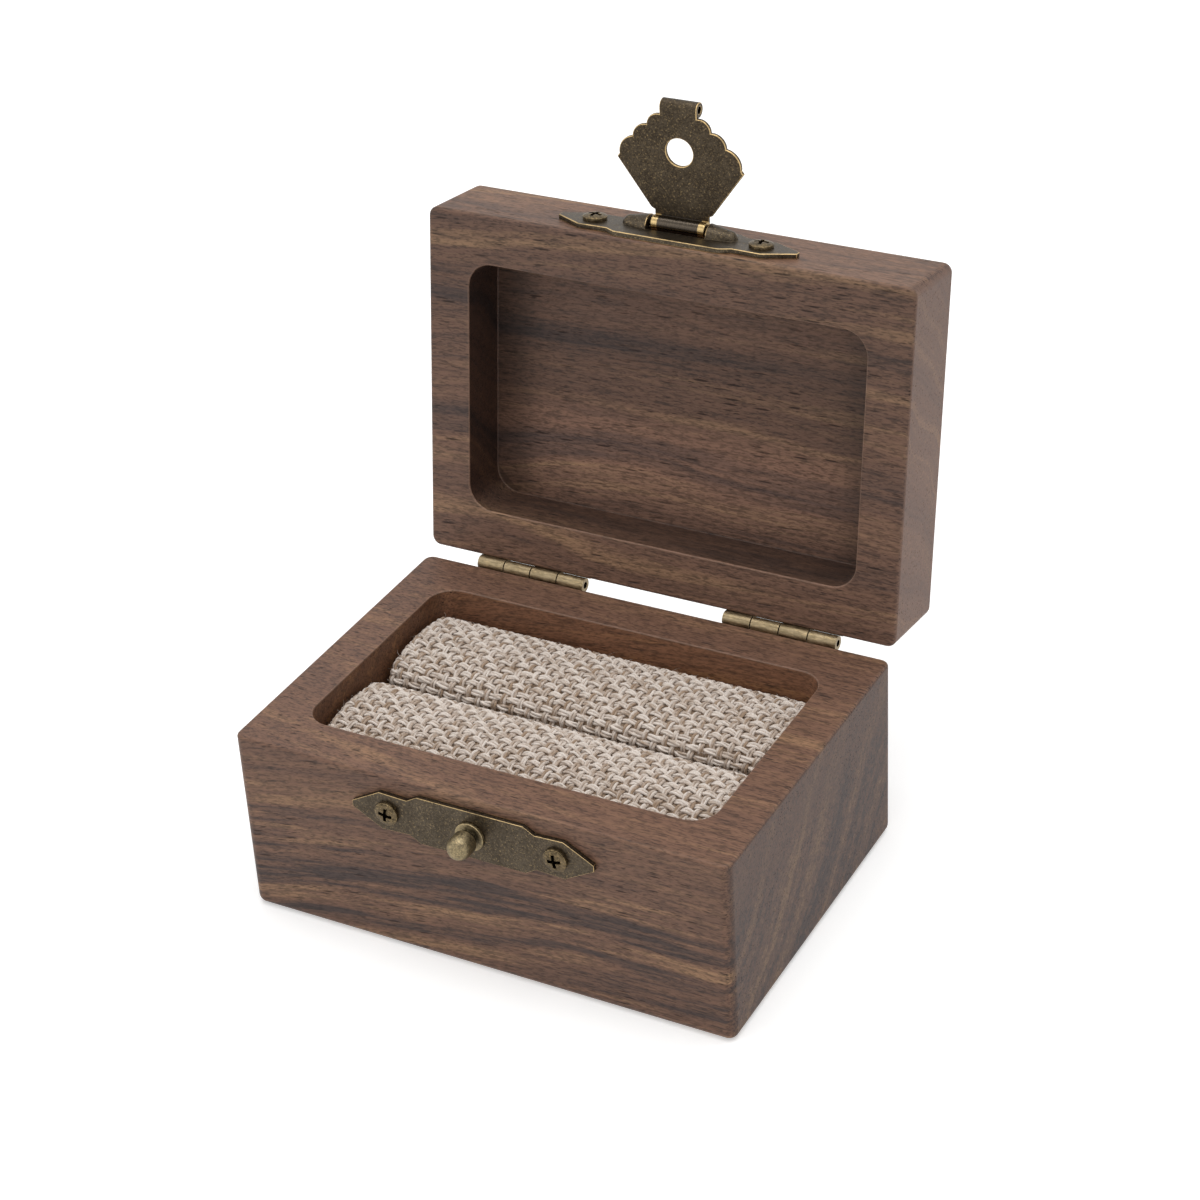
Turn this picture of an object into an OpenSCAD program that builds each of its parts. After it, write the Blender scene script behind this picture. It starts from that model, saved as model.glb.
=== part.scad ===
// Ring display box: a small walnut box with a hinged lid, a hasp and two padded ring rolls.
// Millimetres. +Z is up and the front faces -Y. The origin is the centre of the underside.
// The lid is drawn open and the hasp flap standing, each at the angle named below.

/* [Box] */
// Outside width of base and lid
box_w = 80; // [72:0.5:110]
// Outside depth of base and lid
box_d = 56; // [52:0.5:80]
// Height of the base block
base_h = 30.6; // [29.6:0.2:44]
// Thickness of the lid block
lid_h = 14.7; // [14:0.1:24]
// Gap between base rim and lid rim when shut
seam_gap = 0.2; // [0.1:0.05:0.3]
// Radius of the rounded outer edges and corners
edge_r = 1.5; // [0.8:0.1:1.6]
// Radius of the eased outer edges of both rims
rim_r = 0.5; // [0.2:0.1:0.7]

/* [Pockets] */
// Wood left at each end of the pockets
end_wall = 7; // [5:0.1:10]
// Wood left at the front and the rear of the pockets
side_wall = 7.8; // [6:0.1:9]
// Corner radius left by the cutter
pocket_r = 4; // [3:0.1:6]
// Depth of the pocket in the base
base_pocket = 24; // [20:0.2:25]
// Depth of the pocket in the lid
lid_pocket = 9; // [6:0.1:10]

/* [Ring insert] */
// Thickness of the card under the rolls
card_t = 1; // [0.6:0.1:2]
// Height of the roll crowns below the rim
roll_below_rim = 2.2; // [1:0.1:5]
// Gap between the pocket ends and the rolls
roll_end_gap = 0.6; // [0.5:0.1:3]
// Gap between the pocket sides and the rolls
roll_side_gap = 0.4; // [0.3:0.05:1]
// Slot between the two rolls where rings stand
ring_slot = 0.9; // [0.6:0.1:2]
// Thickness of the folded burlap cover
cover_t = 1.6; // [1.2:0.1:2.5]
// Radius of the rounded long edges of a roll
roll_r = 4.2; // [3:0.1:6]
// Height of the crown over the rounded edges
roll_crown = 0.7; // [0.3:0.1:1.5]
// How far the long sides draw in at mid height
roll_waist = 0.3; // [0.1:0.05:0.6]

/* [Shaped plates] */
// Length of the catch plate and of the hasp plate, tip to tip
plate_l = 39.2; // [37:0.2:46]
// Width of both plates across the middle
plate_w = 8; // [7.4:0.1:9]
// Sheet thickness of both plates
plate_t = 0.8; // [0.5:0.05:1]
// Distance between the two screws of a plate
plate_pitch = 27.4; // [26:0.1:30]
// Depth of the catch plate centre below the base rim
catch_drop = 5.7; // [5.2:0.1:6.6]
// Height of the hasp plate centre above the lid rim
hasp_rise = 4.5; // [4.2:0.1:5.2]

/* [Knob] */
// Diameter of the rounded head
knob_d = 3.7; // [3.2:0.1:3.8]
// Diameter of the neck
neck_d = 2.4; // [1.8:0.1:2.8]
// Diameter of the washer against the plate
collar_d = 4.6; // [4.2:0.1:5.4]
// Thickness of the washer
collar_t = 0.6; // [0.4:0.1:0.9]
// Reach of the knob in front of the plate
knob_reach = 5; // [4.6:0.1:6]
// Length of the knob spigot in the wood
spigot_l = 4; // [2:0.2:5]

/* [Hasp flap] */
// Sheet thickness of the flap
flap_t = 0.6; // [0.5:0.05:0.7]
// Width of the flap across its widest corners
flap_w = 20.6; // [19:0.2:23]
// Distance of the widest corners from the pivot
flap_widest = 9.4; // [8.6:0.1:9.8]
// Length of the flap from the pivot to the middle of the finger curl
flap_l = 18; // [17.8:0.1:19]
// Diameter of the hole that passes over the knob
flap_hole_d = 4.4; // [4.2:0.1:4.6]
// Length of the barrel in the plate window
barrel_l = 8.8; // [7.6:0.1:9]
// Outside diameter of the barrel
barrel_d = 2.4; // [2.2:0.1:2.6]
// Diameter of the hasp pin
hasp_pin_d = 1.1; // [0.8:0.05:1.1]
// Distance of the pin from the lid face
pivot_off = 1.5; // [1.45:0.05:1.7]
// Length of the raised knuckle on each side of the window
boss_l = 4.5; // [3.9:0.1:4.8]
// Width of a raised knuckle at the window
boss_w = 3.8; // [3.6:0.1:4.4]
// Length of the finger curl
curl_l = 6; // [4:0.1:8]
// Outside diameter of the finger curl
curl_d = 2.3; // [2:0.1:2.8]

/* [Rear hinges] */
// Length of each hinge along the seam
hinge_l = 19; // [16:0.5:24]
// Distance from each end of the box to the near end of its hinge
hinge_inset = 9; // [6:0.5:11]
// Height of each leaf above or below the pin
leaf_h = 7; // [6:0.2:8]
// Sheet thickness of a leaf
leaf_t = 0.6; // [0.5:0.05:0.7]
// Diameter of the hinge pin
hinge_pin_d = 1; // [0.8:0.05:1.1]
// Number of knuckles along a hinge
knuckles = 4; // [4:2:6]

/* [Screws] */
// Head diameter of the plate screws
plate_screw_head = 3.7; // [3.2:0.1:4.2]
// Head height of the plate screws
plate_screw_rise = 0.9; // [0.6:0.1:1.1]
// Shank diameter of the plate screws
plate_screw_d = 1.8; // [1.4:0.1:2]
// Length of the plate screws under the head
plate_screw_l = 6; // [4:0.2:6.4]
// Head diameter of the hinge screws
hinge_screw_head = 2.2; // [1.8:0.1:2.4]
// Shank diameter of the hinge screws
hinge_screw_d = 1.2; // [0.8:0.1:1.4]
// Length of the hinge screws under the head
hinge_screw_l = 5; // [3:0.2:5.4]
// Distance between the two screws of a leaf
hinge_pitch = 11; // [10:0.5:12]

/* [Fits] */
// Radial clearance of a pin in its bore
pin_fit = 0.04; // [0.02:0.01:0.08]
// Radial clearance of a shank in its hole
shank_fit = 0.05; // [0.03:0.01:0.1]
// Gap between neighbouring knuckles
knuckle_gap = 0.2; // [0.1:0.02:0.3]
// Gap between the flap barrel and each side of its window
window_gap = 0.5; // [0.16:0.02:0.7]
// Gap kept round moving sheet edges
swing_gap = 0.35; // [0.3:0.05:0.5]

/* [Pose] */
// Angle that the lid stands open from shut
lid_open = 98; // [80:1:110]
// Angle that the hasp flap stands off the lid front
flap_open = 82; // [80:1:100]

/* [Hidden] */

walnut = "#6f5242";
burlap = "#cfc3b2";
foam = "#e8e2cf";
card = "#8c8170";
bronze = "#6e6249";
dark_bronze = "#57503c";

eps = 0.02;
round_fn = 48;
small_fn = 28;

// Pockets
pocket_w = box_w - 2 * end_wall;
pocket_d = box_d - 2 * side_wall;
floor_z = base_h - base_pocket;

// Rolls
card_clear = 0.4;
card_w = pocket_w - 2 * card_clear;
card_d = pocket_d - 2 * card_clear;
roll_z0 = floor_z + card_t;
roll_top = base_h - roll_below_rim;
roll_h = roll_top - roll_z0;
roll_l = pocket_w - 2 * roll_end_gap;
roll_d = (pocket_d - 2 * roll_side_gap - ring_slot) / 2;
roll_y = (roll_d + ring_slot) / 2;
foam_l = roll_l - 2 * cover_t;
foam_d = roll_d - 2 * (cover_t + roll_waist);
foam_h = roll_h - cover_t - roll_crown - roll_r / 3;

// Points along a roll's side, shoulder, crown and folded ends
side_steps = 3;
arc_steps = 5;
crown_steps = 4;
end_steps = 5;
end_r = 1.8;

// Rear hinges: the pin lies in the seam plane, one barrel radius behind the wood
hinge_x = box_w / 2 - hinge_inset - hinge_l / 2;
hinge_barrel_d = hinge_pin_d + 2 * (pin_fit + leaf_t);
axis_y = box_d / 2 + hinge_barrel_d / 2;
axis_z = base_h + seam_gap / 2;
lid_z = base_h + seam_gap;
knuckle_l = hinge_l / knuckles;
hinge_screw_z = 0.58 * leaf_h;
leaf_corner = 0.8;
pin_inset = 0.5;

// Shaped plates: half outline of one quarter, from the middle to the tip
plate_block = 8.6;
notch_x = 10.3;
notch_w = 0.74 * plate_w;
shoulder_x = 14.9;
shoulder_w = 0.79 * plate_w;
tip_w = 1;
screw_x = plate_pitch / 2;

// Hasp: heights are given for the shut lid
front_y = -box_d / 2;
catch_z = base_h - catch_drop;
hasp_z = lid_z + hasp_rise;
pivot_rise = 1.0;
pivot_z = hasp_z + pivot_rise;
pivot_y = front_y - pivot_off;
boss_end_r = 1.3;
boss_z = pivot_off + barrel_d / 2 - boss_w / 2;
window_l = barrel_l + 2 * window_gap;
window_down = barrel_d / 2 + swing_gap;
window_up = 1.9;
hole_reach = pivot_z - catch_z;
curl_bore = curl_d - 2 * flap_t;
hasp_pin_hold = 2.2;
hasp_pin_play = 0.2;
hasp_pin_l = window_l + 2 * hasp_pin_hold;
flap_foot = 2.1;
flap_ear = 0.3;
flap_foot_w = 10;
cusps = [[9.9, 9.9], [7.6, 12.95], [5.2, 15.1], [3.3, 17]];
lobe_r = [2.7, 2.2, 1.9];

// Knob and screws: shares are of the head's diameter, its rise or its countersink
neck_free = 0.9;
neck_h = collar_t + neck_free;
screw_turn = 8;
tip_gap = 0.3;
pan_rim = 0.6;
pan_recess = 0.75;
flush_recess = 0.5;
recess_size = 0.6;
recess_bar = 0.25;

// ---------- shared shapes ----------

// Block with round edges: w and d centred on X and Y, z from 0 to h, the rim with its eased edges on top
module soft_block(w, d, h) {
    run_w = w - 2 * edge_r;
    run_d = d - 2 * edge_r;
    translate([-run_w / 2, 0, 0])
        rotate([90, 0, 90])
            linear_extrude(run_w)
                block_section(d, h);
    translate([0, run_d / 2, 0])
        rotate([90, 0, 0])
            linear_extrude(run_d)
                block_section(w, h);
    for (sx = [-1, 1], sy = [-1, 1])
        translate([sx * run_w / 2, sy * run_d / 2, 0])
            rotate_extrude($fn = round_fn)
                intersection() {
                    translate([edge_r - w / 2, 0])
                        block_section(w, h);
                    square([edge_r, h]);
                }
}

// Upright section of a block: round lower corners, eased upper ones
module block_section(w, h) {
    translate([-w / 2 + edge_r, 0])
        square([w - 2 * edge_r, h]);
    translate([-w / 2, edge_r])
        square([w, h - edge_r - rim_r]);
    translate([-w / 2 + rim_r, edge_r])
        square([w - 2 * rim_r, h - edge_r]);
    for (sx = [-1, 1]) {
        translate([sx * (w / 2 - edge_r), edge_r])
            circle(edge_r, $fn = round_fn);
        translate([sx * (w / 2 - rim_r), h - rim_r])
            circle(rim_r, $fn = small_fn);
    }
}

// Rectangle with round corners, made of exact discs and bars
module round_rect(w, d, r) {
    square([w - 2 * r, d], center = true);
    square([w, d - 2 * r], center = true);
    for (sx = [-1, 1], sy = [-1, 1])
        translate([sx * (w / 2 - r), sy * (d / 2 - r)])
            circle(r, $fn = round_fn);
}

// Cutter's pocket, z from 0 to h
module pocket(h) {
    linear_extrude(h)
        round_rect(pocket_w, pocket_d, pocket_r);
}

// Puts what is drawn for the shut lid where the open lid has it
module on_lid() {
    translate([0, axis_y, axis_z])
        rotate([-lid_open, 0, 0])
            translate([0, -axis_y, -axis_z])
                children();
}

// Puts what is drawn for the hanging flap where the standing flap has it
module on_flap() {
    on_lid()
        translate([0, pivot_y, pivot_z])
            rotate([-flap_open, 0, 0])
                children();
}

// Turns a drawing in X and Z into one that faces -Y: drawn z becomes -Y
module on_front(z) {
    translate([0, front_y, z])
        rotate([90, 0, 0])
            children();
}

// Outline of the catch plate and the hasp plate
module plate_outline() {
    quarter = [
        [plate_block, plate_w / 2],
        [notch_x, notch_w / 2],
        [shoulder_x, shoulder_w / 2],
        [plate_l / 2, tip_w / 2]
    ];
    flip = [for (i = [len(quarter) - 1:-1:0]) quarter[i]];
    polygon(concat(
        quarter,
        [for (p = flip) [p[0], -p[1]]],
        [for (p = quarter) [-p[0], -p[1]]],
        [for (p = flip) [-p[0], p[1]]]
    ));
}

// Phillips recess, cut from z = 0 down
module cross_recess(size, depth) {
    bar = recess_bar * size;
    for (turn = [0, 90])
        rotate([0, 0, turn])
            translate([-size / 2, -bar / 2, -depth])
                cube([size, bar, depth + 1]);
}

// Pan head screw: the head sits on z = 0 and the shank goes down
module pan_screw() {
    rim = pan_rim * plate_screw_rise;
    crown = plate_screw_rise - rim;
    dome_r = (pow(plate_screw_head / 2, 2) + crown * crown) / (2 * crown);
    difference() {
        union() {
            cylinder(d = plate_screw_head, h = rim, $fn = round_fn);
            intersection() {
                translate([0, 0, rim + crown - dome_r])
                    sphere(dome_r, $fn = round_fn);
                translate([0, 0, rim - eps])
                    cylinder(d = plate_screw_head, h = crown + 1, $fn = round_fn);
            }
            translate([0, 0, -plate_screw_l])
                cylinder(d = plate_screw_d, h = plate_screw_l + eps, $fn = small_fn);
        }
        translate([0, 0, plate_screw_rise])
            cross_recess(recess_size * plate_screw_head, pan_recess * plate_screw_rise);
    }
}

// Flat countersunk screw: the head is flush with z = 0 and the shank goes down
module flush_screw() {
    sink = hinge_screw_sink(hinge_screw_head);
    difference() {
        union() {
            translate([0, 0, -sink])
                cylinder(d1 = hinge_screw_d, d2 = hinge_screw_head, h = sink, $fn = small_fn);
            translate([0, 0, -hinge_screw_l])
                cylinder(d = hinge_screw_d, h = hinge_screw_l - sink + eps, $fn = small_fn);
        }
        cross_recess(recess_size * hinge_screw_head, flush_recess * sink);
    }
}

// Depth of a countersink of diameter d
function hinge_screw_sink(d) = (d - hinge_screw_d) / 2;

// ---------- wood ----------

// Holes of the plate screws in the wood, drawn on z = 0 and going down
module plate_screw_holes() {
    for (sx = [-1, 1])
        translate([sx * screw_x, 0, plate_t - plate_screw_l - tip_gap])
            cylinder(d = plate_screw_d + 2 * shank_fit, h = plate_screw_l + 1, $fn = small_fn);
}

// Holes of the hinge screws of one leaf in the wood, for side = -1 base or 1 lid
module leaf_screw_holes(side) {
    for (sx = [-1, 1], hx = [-1, 1])
        translate([sx * hinge_x + hx * hinge_pitch / 2, box_d / 2, axis_z + side * hinge_screw_z])
            rotate([-90, 0, 0])
                translate([0, 0, leaf_t - hinge_screw_l - tip_gap])
                    cylinder(d = hinge_screw_d + 2 * shank_fit, h = hinge_screw_l + 1, $fn = small_fn);
}

module base_box() {
    color(walnut)
        difference() {
            soft_block(box_w, box_d, base_h);
            translate([0, 0, floor_z])
                pocket(base_pocket + 1);
            on_front(catch_z)
                plate_screw_holes();
            on_front(catch_z)
                translate([0, 0, -spigot_l - tip_gap])
                    cylinder(d = neck_d + 2 * shank_fit, h = spigot_l + 1, $fn = small_fn);
            leaf_screw_holes(-1);
        }
}

module lid_box() {
    color(walnut)
        on_lid()
            difference() {
                translate([0, 0, lid_z + lid_h])
                    mirror([0, 0, 1])
                        soft_block(box_w, box_d, lid_h);
                translate([0, 0, lid_z - 1])
                    pocket(lid_pocket + 1);
                on_front(hasp_z)
                    plate_screw_holes();
                leaf_screw_holes(1);
            }
}

// ---------- ring insert ----------

module insert_card() {
    color(card)
        translate([0, 0, floor_z])
            linear_extrude(card_t)
                round_rect(card_w, card_d, pocket_r - card_clear);
}

// Half depth of a roll at height z above its foot: drawn in between foot and shoulder
function roll_side(z) =
    roll_d / 2 - roll_waist * sin(180 * z / (roll_h - roll_crown - roll_r));

// Cross-section of a roll as points (y, z), counter-clockwise, crowned on top
shoulder_z = roll_h - roll_crown - roll_r;
side_points = [for (i = [0:side_steps])
    let (z = shoulder_z * i / side_steps) [roll_side(z), z]];
arc_points = [for (i = [1:arc_steps])
    let (a = 90 * i / arc_steps)
        [roll_d / 2 - roll_r + roll_r * cos(a), shoulder_z + roll_r * sin(a)]];
crown_half = roll_d / 2 - roll_r;
crown_points = [for (i = [1:crown_steps])
    let (y = crown_half * (1 - i / crown_steps))
        [y, shoulder_z + roll_r + roll_crown * cos(90 * y / crown_half)]];
half_section = concat(side_points, arc_points, crown_points);
roll_section = concat(
    half_section,
    [for (i = [len(half_section) - 2:-1:0]) [-half_section[i][0], half_section[i][1]]]
);

// The section is drawn in towards the ends, as a cover is when it is folded over
end_stations = [for (i = [0:end_steps])
    let (a = 90 * i / end_steps) [end_r * (1 - cos(a)), end_r * (1 - sin(a))]];
roll_stations = concat(
    [for (e = end_stations) [e[0] - roll_l / 2, e[1]]],
    [for (i = [end_steps:-1:0]) [roll_l / 2 - end_stations[i][0], end_stations[i][1]]]
);

function ring_at(station) = [for (p = roll_section) [
    station[0],
    p[0] * (1 - 2 * station[1] / roll_d),
    p[1] * (1 - station[1] / roll_h)
]];

// Padded outside of one roll, crowned, drawn in at the sides and the ends, foot on z = 0
module roll_form() {
    n = len(roll_section);
    last = (len(roll_stations) - 1) * n;
    top = len(half_section) - 1;
    polyhedron(
        points = [for (station = roll_stations) each ring_at(station)],
        faces = concat(
            [for (i = [0:len(roll_stations) - 2], j = [0:n - 1])
                let (a = i * n, k = (j + 1) % n) each [
                    [a + j, a + n + j, a + n + k],
                    [a + j, a + n + k, a + k]
                ]],
            [for (j = [0:n - 1]) let (k = (j + 1) % n)
                if (j != top && k != top) [top, j, k]],
            [for (j = [0:n - 1]) let (k = (j + 1) % n)
                if (j != top && k != top) [last + top, last + k, last + j]]
        )
    );
}

// Foam bar inside a roll, foot on z = 0
module foam_bar() {
    translate([-foam_l / 2, -foam_d / 2, 0])
        cube([foam_l, foam_d, foam_h]);
}

// Places a roll: side = -1 front, 1 rear
module at_roll(side) {
    translate([0, side * roll_y, roll_z0])
        children();
}

// Burlap cover, folded over the foam and open underneath
module roll_cover(side) {
    color(burlap)
        at_roll(side)
            difference() {
                roll_form();
                translate([0, 0, -foam_h])
                    foam_bar();
                foam_bar();
            }
}

module roll_foam(side) {
    color(foam)
        at_roll(side)
            foam_bar();
}

module front_roll_foam() {
    roll_foam(-1);
}

module front_roll_cover() {
    roll_cover(-1);
}

module rear_roll_foam() {
    roll_foam(1);
}

module rear_roll_cover() {
    roll_cover(1);
}

// ---------- catch on the base ----------

// Shaped plate with its two screw holes, back face on z = 0
module shaped_plate() {
    difference() {
        linear_extrude(plate_t)
            plate_outline();
        for (sx = [-1, 1])
            translate([sx * screw_x, 0, -1])
                cylinder(d = plate_screw_d + 2 * shank_fit, h = plate_t + 2, $fn = small_fn);
    }
}

module catch_plate() {
    color(bronze)
        on_front(catch_z)
            difference() {
                shaped_plate();
                translate([0, 0, -1])
                    cylinder(d = neck_d + 2 * shank_fit, h = plate_t + 2, $fn = small_fn);
            }
}

// Spigot, washer, neck and bullet head, turned from one piece
module catch_knob() {
    head_z = knob_reach - knob_d / 2;
    color(bronze)
        on_front(catch_z)
            translate([0, 0, plate_t])
                union() {
                    translate([0, 0, -plate_t - spigot_l])
                        cylinder(d = neck_d, h = plate_t + spigot_l + neck_h + eps, $fn = round_fn);
                    cylinder(d = collar_d, h = collar_t, $fn = round_fn);
                    translate([0, 0, neck_h])
                        cylinder(d = knob_d, h = head_z - neck_h, $fn = round_fn);
                    translate([0, 0, head_z])
                        intersection() {
                            sphere(d = knob_d, $fn = round_fn);
                            translate([0, 0, -eps])
                                cylinder(d = 2 * knob_d, h = knob_d, $fn = round_fn);
                        }
                }
}

// The two screws of a plate whose back lies on z = 0
module plate_screws() {
    for (sx = [-1, 1])
        translate([sx * screw_x, 0, plate_t])
            rotate([0, 0, sx * screw_turn])
                pan_screw();
}

module catch_screws() {
    color(bronze)
        on_front(catch_z)
            plate_screws();
}

// ---------- rear hinges ----------

// True for the knuckles that belong to the leaf on the given side: 1 lid, -1 base
function owns(k, side) = (k % 2 == 0) == (side > 0);

// Flat part of a leaf in X and Z: the pin lies on y = 0 and the leaf grows to +Y
module leaf_outline(side) {
    neck = hinge_barrel_d / 2 + swing_gap;
    translate([-hinge_l / 2, neck])
        square([hinge_l, leaf_h - neck - leaf_corner]);
    translate([-hinge_l / 2 + leaf_corner, neck])
        square([hinge_l - 2 * leaf_corner, leaf_h - neck]);
    for (sx = [-1, 1])
        translate([sx * (hinge_l / 2 - leaf_corner), leaf_h - leaf_corner])
            circle(leaf_corner, $fn = small_fn);
    for (k = [0:knuckles - 1])
        if (owns(k, side))
            translate([-hinge_l / 2 + k * knuckle_l + knuckle_gap / 2, 0])
                square([knuckle_l - knuckle_gap, neck + eps]);
}

// One leaf with its knuckles, drawn for the shut lid: side = 1 lid, -1 base
module hinge_leaf(side) {
    bore_d = hinge_pin_d + 2 * pin_fit;
    difference() {
        union() {
            translate([0, box_d / 2 + leaf_t, axis_z])
                rotate([90, 0, 0])
                    linear_extrude(leaf_t)
                        mirror([0, side < 0 ? 1 : 0])
                            leaf_outline(side);
            for (k = [0:knuckles - 1])
                if (owns(k, side))
                    translate([-hinge_l / 2 + k * knuckle_l + knuckle_gap / 2, axis_y, axis_z])
                        rotate([0, 90, 0])
                            cylinder(d = hinge_barrel_d, h = knuckle_l - knuckle_gap, $fn = small_fn);
        }
        translate([-hinge_l, axis_y, axis_z])
            rotate([0, 90, 0])
                cylinder(d = bore_d, h = 2 * hinge_l, $fn = small_fn);
        for (sx = [-1, 1])
            at_leaf_screw(sx, side)
                leaf_hole();
    }
}

// Places one screw of a leaf, head outwards
module at_leaf_screw(sx, side) {
    translate([sx * hinge_pitch / 2, box_d / 2 + leaf_t, axis_z + side * hinge_screw_z])
        rotate([-90, 0, 0])
            children();
}

// Countersunk hole through a leaf, its wide end on z = 0
module leaf_hole() {
    wide = hinge_screw_head + 2 * shank_fit;
    narrow = hinge_screw_d + 2 * shank_fit;
    sink = hinge_screw_sink(hinge_screw_head);
    translate([0, 0, -sink])
        cylinder(d1 = narrow, d2 = wide, h = sink, $fn = small_fn);
    translate([0, 0, -eps])
        cylinder(d = wide, h = 1, $fn = small_fn);
    translate([0, 0, -leaf_t - 1])
        cylinder(d = narrow, h = leaf_t + 1, $fn = small_fn);
}

module leaf_screws(side) {
    for (sx = [-1, 1])
        at_leaf_screw(sx, side)
            flush_screw();
}

// Pin through all the knuckles, its ends just inside the barrel
module hinge_pin() {
    translate([-hinge_l / 2 + pin_inset, axis_y, axis_z])
        rotate([0, 90, 0])
            cylinder(d = hinge_pin_d, h = hinge_l - 2 * pin_inset, $fn = small_fn);
}

// Places a hinge: hand = -1 left, 1 right
module at_hinge(hand) {
    color(bronze)
        translate([hand * hinge_x, 0, 0])
            children();
}

module left_hinge_base_leaf() {
    at_hinge(-1)
        hinge_leaf(-1);
}

module left_hinge_lid_leaf() {
    on_lid()
        at_hinge(-1)
            hinge_leaf(1);
}

module left_hinge_pin() {
    at_hinge(-1)
        hinge_pin();
}

module left_hinge_base_screws() {
    at_hinge(-1)
        leaf_screws(-1);
}

module left_hinge_lid_screws() {
    on_lid()
        at_hinge(-1)
            leaf_screws(1);
}

module right_hinge_base_leaf() {
    at_hinge(1)
        hinge_leaf(-1);
}

module right_hinge_lid_leaf() {
    on_lid()
        at_hinge(1)
            hinge_leaf(1);
}

module right_hinge_pin() {
    at_hinge(1)
        hinge_pin();
}

module right_hinge_base_screws() {
    at_hinge(1)
        leaf_screws(-1);
}

module right_hinge_lid_screws() {
    on_lid()
        at_hinge(1)
            leaf_screws(1);
}

// ---------- hasp on the lid ----------

// Raised knuckle beside the window: highest there, lower towards its round end
module plate_boss() {
    taper_l = boss_l - boss_end_r;
    intersection() {
        translate([window_l / 2, pivot_rise, boss_z]) {
            rotate([0, 90, 0])
                cylinder(r1 = boss_w / 2, r2 = boss_end_r, h = taper_l, $fn = round_fn);
            translate([taper_l, 0, 0])
                sphere(boss_end_r, $fn = round_fn);
        }
        translate([window_l / 2, pivot_rise - boss_w, plate_t - eps])
            cube([boss_l, 2 * boss_w, boss_w]);
    }
}

module hasp_plate() {
    color(bronze)
        on_lid()
            on_front(hasp_z)
                difference() {
                    union() {
                        shaped_plate();
                        plate_boss();
                        mirror([1, 0, 0])
                            plate_boss();
                    }
                    translate([-window_l / 2, pivot_rise - window_down, -1])
                        cube([window_l, window_down + window_up, plate_t + 2]);
                    translate([-hasp_pin_l / 2 - hasp_pin_play, pivot_rise, pivot_off])
                        rotate([0, 90, 0])
                            cylinder(d = hasp_pin_d + 2 * pin_fit, h = hasp_pin_l + 2 * hasp_pin_play,
                                $fn = small_fn);
                }
}

module hasp_screws() {
    color(bronze)
        on_lid()
            on_front(hasp_z)
                plate_screws();
}

module hasp_pin() {
    color(bronze)
        on_lid()
            translate([-hasp_pin_l / 2, pivot_y, pivot_z])
                rotate([0, 90, 0])
                    cylinder(d = hasp_pin_d, h = hasp_pin_l, $fn = small_fn);
}

// Round lobe that bulges outwards between two cusps of the flap's outline
module lobe(a, b, r) {
    mid = (a + b) / 2;
    chord = norm(b - a);
    out = [b[1] - a[1], a[0] - b[0]] / chord;
    translate(mid - out * sqrt(r * r - chord * chord / 4))
        circle(r, $fn = round_fn);
}

// Outline of the flap: the pin lies on y = 0 and the flap grows to +Y
module flap_outline() {
    half = concat(
        [[barrel_l / 2, 0], [barrel_l / 2, flap_foot - flap_ear]],
        [[flap_foot_w / 2, flap_foot], [flap_w / 2, flap_widest]],
        cusps,
        [[curl_l / 2, cusps[len(cusps) - 1][1]], [curl_l / 2, flap_l]]
    );
    polygon(concat(half, [for (i = [len(half) - 1:-1:0]) [-half[i][0], half[i][1]]]));
    for (sx = [0, 1])
        mirror([sx, 0])
            for (i = [0:len(cusps) - 2])
                lobe(cusps[i], cusps[i + 1], lobe_r[i]);
}

// Flap drawn hanging from a pin at the origin: its sheet lies in front of the pin
module hasp_flap() {
    barrel_r = barrel_d / 2;
    color(dark_bronze)
        on_flap()
            difference() {
                union() {
                    translate([0, -barrel_r + flap_t, 0])
                        rotate([90, 0, 0])
                            linear_extrude(flap_t)
                                mirror([0, 1])
                                    flap_outline();
                    translate([-barrel_l / 2, 0, 0])
                        rotate([0, 90, 0])
                            cylinder(r = barrel_r, h = barrel_l, $fn = round_fn);
                    translate([-curl_l / 2, -barrel_r + flap_t - curl_d / 2, -flap_l])
                        rotate([0, 90, 0])
                            cylinder(d = curl_d, h = curl_l, $fn = round_fn);
                }
                translate([-barrel_l, 0, 0])
                    rotate([0, 90, 0])
                        cylinder(d = hasp_pin_d + 2 * pin_fit, h = 2 * barrel_l, $fn = small_fn);
                translate([-curl_l, -barrel_r + flap_t - curl_d / 2, -flap_l])
                    rotate([0, 90, 0])
                        cylinder(d = curl_bore, h = 2 * curl_l, $fn = small_fn);
                translate([0, 0, -hole_reach])
                    rotate([90, 0, 0])
                        cylinder(d = flap_hole_d, h = 2 * barrel_d, $fn = round_fn);
            }
}

base_box();
insert_card();
front_roll_foam();
front_roll_cover();
rear_roll_foam();
rear_roll_cover();
catch_plate();
catch_knob();
catch_screws();
left_hinge_base_leaf();
left_hinge_lid_leaf();
left_hinge_pin();
left_hinge_base_screws();
left_hinge_lid_screws();
right_hinge_base_leaf();
right_hinge_lid_leaf();
right_hinge_pin();
right_hinge_base_screws();
right_hinge_lid_screws();
lid_box();
hasp_plate();
hasp_screws();
hasp_pin();
hasp_flap();
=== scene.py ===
"""Looks of the ring display box: walnut, antique bronze hardware and two burlap ring rolls.

Metres, +Z up, the front faces -Y. The camera, floor and lights follow the pieces.
"""

import math
import random

import bmesh
import bpy
import numpy as np
from mathutils import Matrix, Vector
from mathutils.bvhtree import BVHTree


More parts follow.
